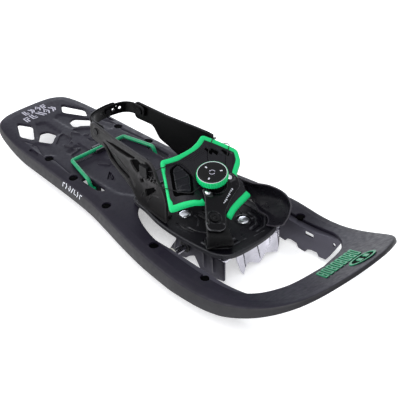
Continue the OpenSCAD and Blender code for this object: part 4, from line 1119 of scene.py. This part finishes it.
def build_badge():
    """Raised slanted blocks with slots painted dark as shade, and an oval beside them whose sunk
    middle is painted dark as shade.
    """
    def badge(name, loops, top, finish=green_ink, edge=0.35, **how):
        moulded(name, loops, top, 0.1, finish, "deck_frame", ["toe_badge"], edge=edge,
                low_edge=0.1, pitch=2, base=deck_height, **how)

    for k in range(8):
        def block(half, low, high, x=BAR_X - BAR_STEP * k):
            return [(x + across + BAR_SLANT * along, BAR_Y + along) for across, along in
                    ((half, low), (half, high), (-half, high), (-half, low))]

        slots = [rounded(block(0.95, *ends), 0.3, 2)
                 for ends in (((3, 18),) if k % 2 else ((3, 9.3), (12, 18)))]
        badge(f"badge_bar_{k}", [rounded(block(2.75, 0, BAR_LENGTH), 0.8, 2)], 1.4, edge=0.45,
              relief=[(slot, -0.8, 0.3) for slot in slots], inlay=(slots, painted_recess_shade))

    def oval(across, along):
        return circle((0, 0), 1, 48) * (across, along) + OVAL_CENTRE

    badge("badge_oval", [oval(16.5, 9.8), oval(13.8, 7.4)[::-1]], 1.4)
    # Painted shade: the oval's sunk middle is a near-black sheet
    badge("badge_well", [oval(13.7, 7.3)], 0.4, painted_recess_shade, edge=0.1)
    for k, x in enumerate((-18.5, -8.5)):
        dash = rounded([(x + 2, 273.5), (x + 6, 282), (x + 1, 282), (x - 3, 273.5)], 0.8, 2)
        badge(f"badge_dash_{k}", [dash], 1.3, edge=0.3)


def build_prints():
    # Plain strokes stand where the real deck has its printing: two rows across the tail and a
    # line along the right shoulder
    strokes = [[(0, 0), (3, 5.5), (0, 11)], [(0, 0), (5, 11)], [(0, 11), (0, 2), (6, 2)],
               [(0, 5.5), (3, 0), (6, 5.5), (3, 11)], [(0, 0), (0, 9), (6, 9)]]
    echoes = [[(3.2, 1), (6, 5.5), (3.2, 10)], [(3.4, 0), (8.4, 11)], [(2.8, 11), (2.8, 5), (6, 5)],
              [(2.2, 5.5), (3.8, 5.5)], [(2.8, 0), (2.8, 6), (6, 6)]]
    for row, (x, y, step, scale, picks) in enumerate(((25, -266.5, 10.6, 1.2, (2, 4, 1, 3, 0)),
                                                      (17, -279.5, 9.6, 1.05, (4, 0, 3, 2)))):
        for k, pick in enumerate(picks):
            for name, shape in (("", strokes[pick]), ("echo_", echoes[pick])):
                line = np.array(shape) * (-scale, scale) + (x - step * k, y)
                printed(f"tail_print_{name}{row}_{k}", strip(line, 1.9), 0.16, -0.3, tail_ink,
                        "deck_frame", base=deck_height)
    section = EDGE_SECTION[2:]
    run = np.concatenate([[0], np.cumsum(np.hypot(*np.diff(section, axis=0).T))])
    half = RIM_HALF[RIM_HALF[:, 1] < 120]

    def on_shoulder(p, w):
        """p is (distance along the deck, distance up the rounded shoulder from its foot)."""
        d, drop = (np.interp(p[:, 1], run, section[:, k]) for k in (0, 1))
        x = np.interp(p[:, 0], half[:, 1], half[:, 0]) - d
        return np.column_stack([x + 0.8 * w, p[:, 0], DECK_TOP - drop + 0.6 * w])

    for k, pick in enumerate((4, 0, 3, 1, 2, 0, 4)):
        line = np.array(strokes[pick]) * 0.62 + (-109 + 6.1 * k, 0.6)
        printed(f"shoulder_print_{k}", strip(line, 1.25), 0.3, -0.4, white_ink, "deck_frame",
                pitch=1, place=on_shoulder)


add_camera()
add_studio()
finish_cad_nodes()
build_deck()
build_hood()
build_tongue()
build_dial()
build_arm("right_arm", 1, arm_plastic)
build_arm("left_arm", -1, black_plastic)
build_footbed()
build_toe()
build_heel_strap()
build_bail()
build_lace()
build_crampon()
build_badge()
build_prints()
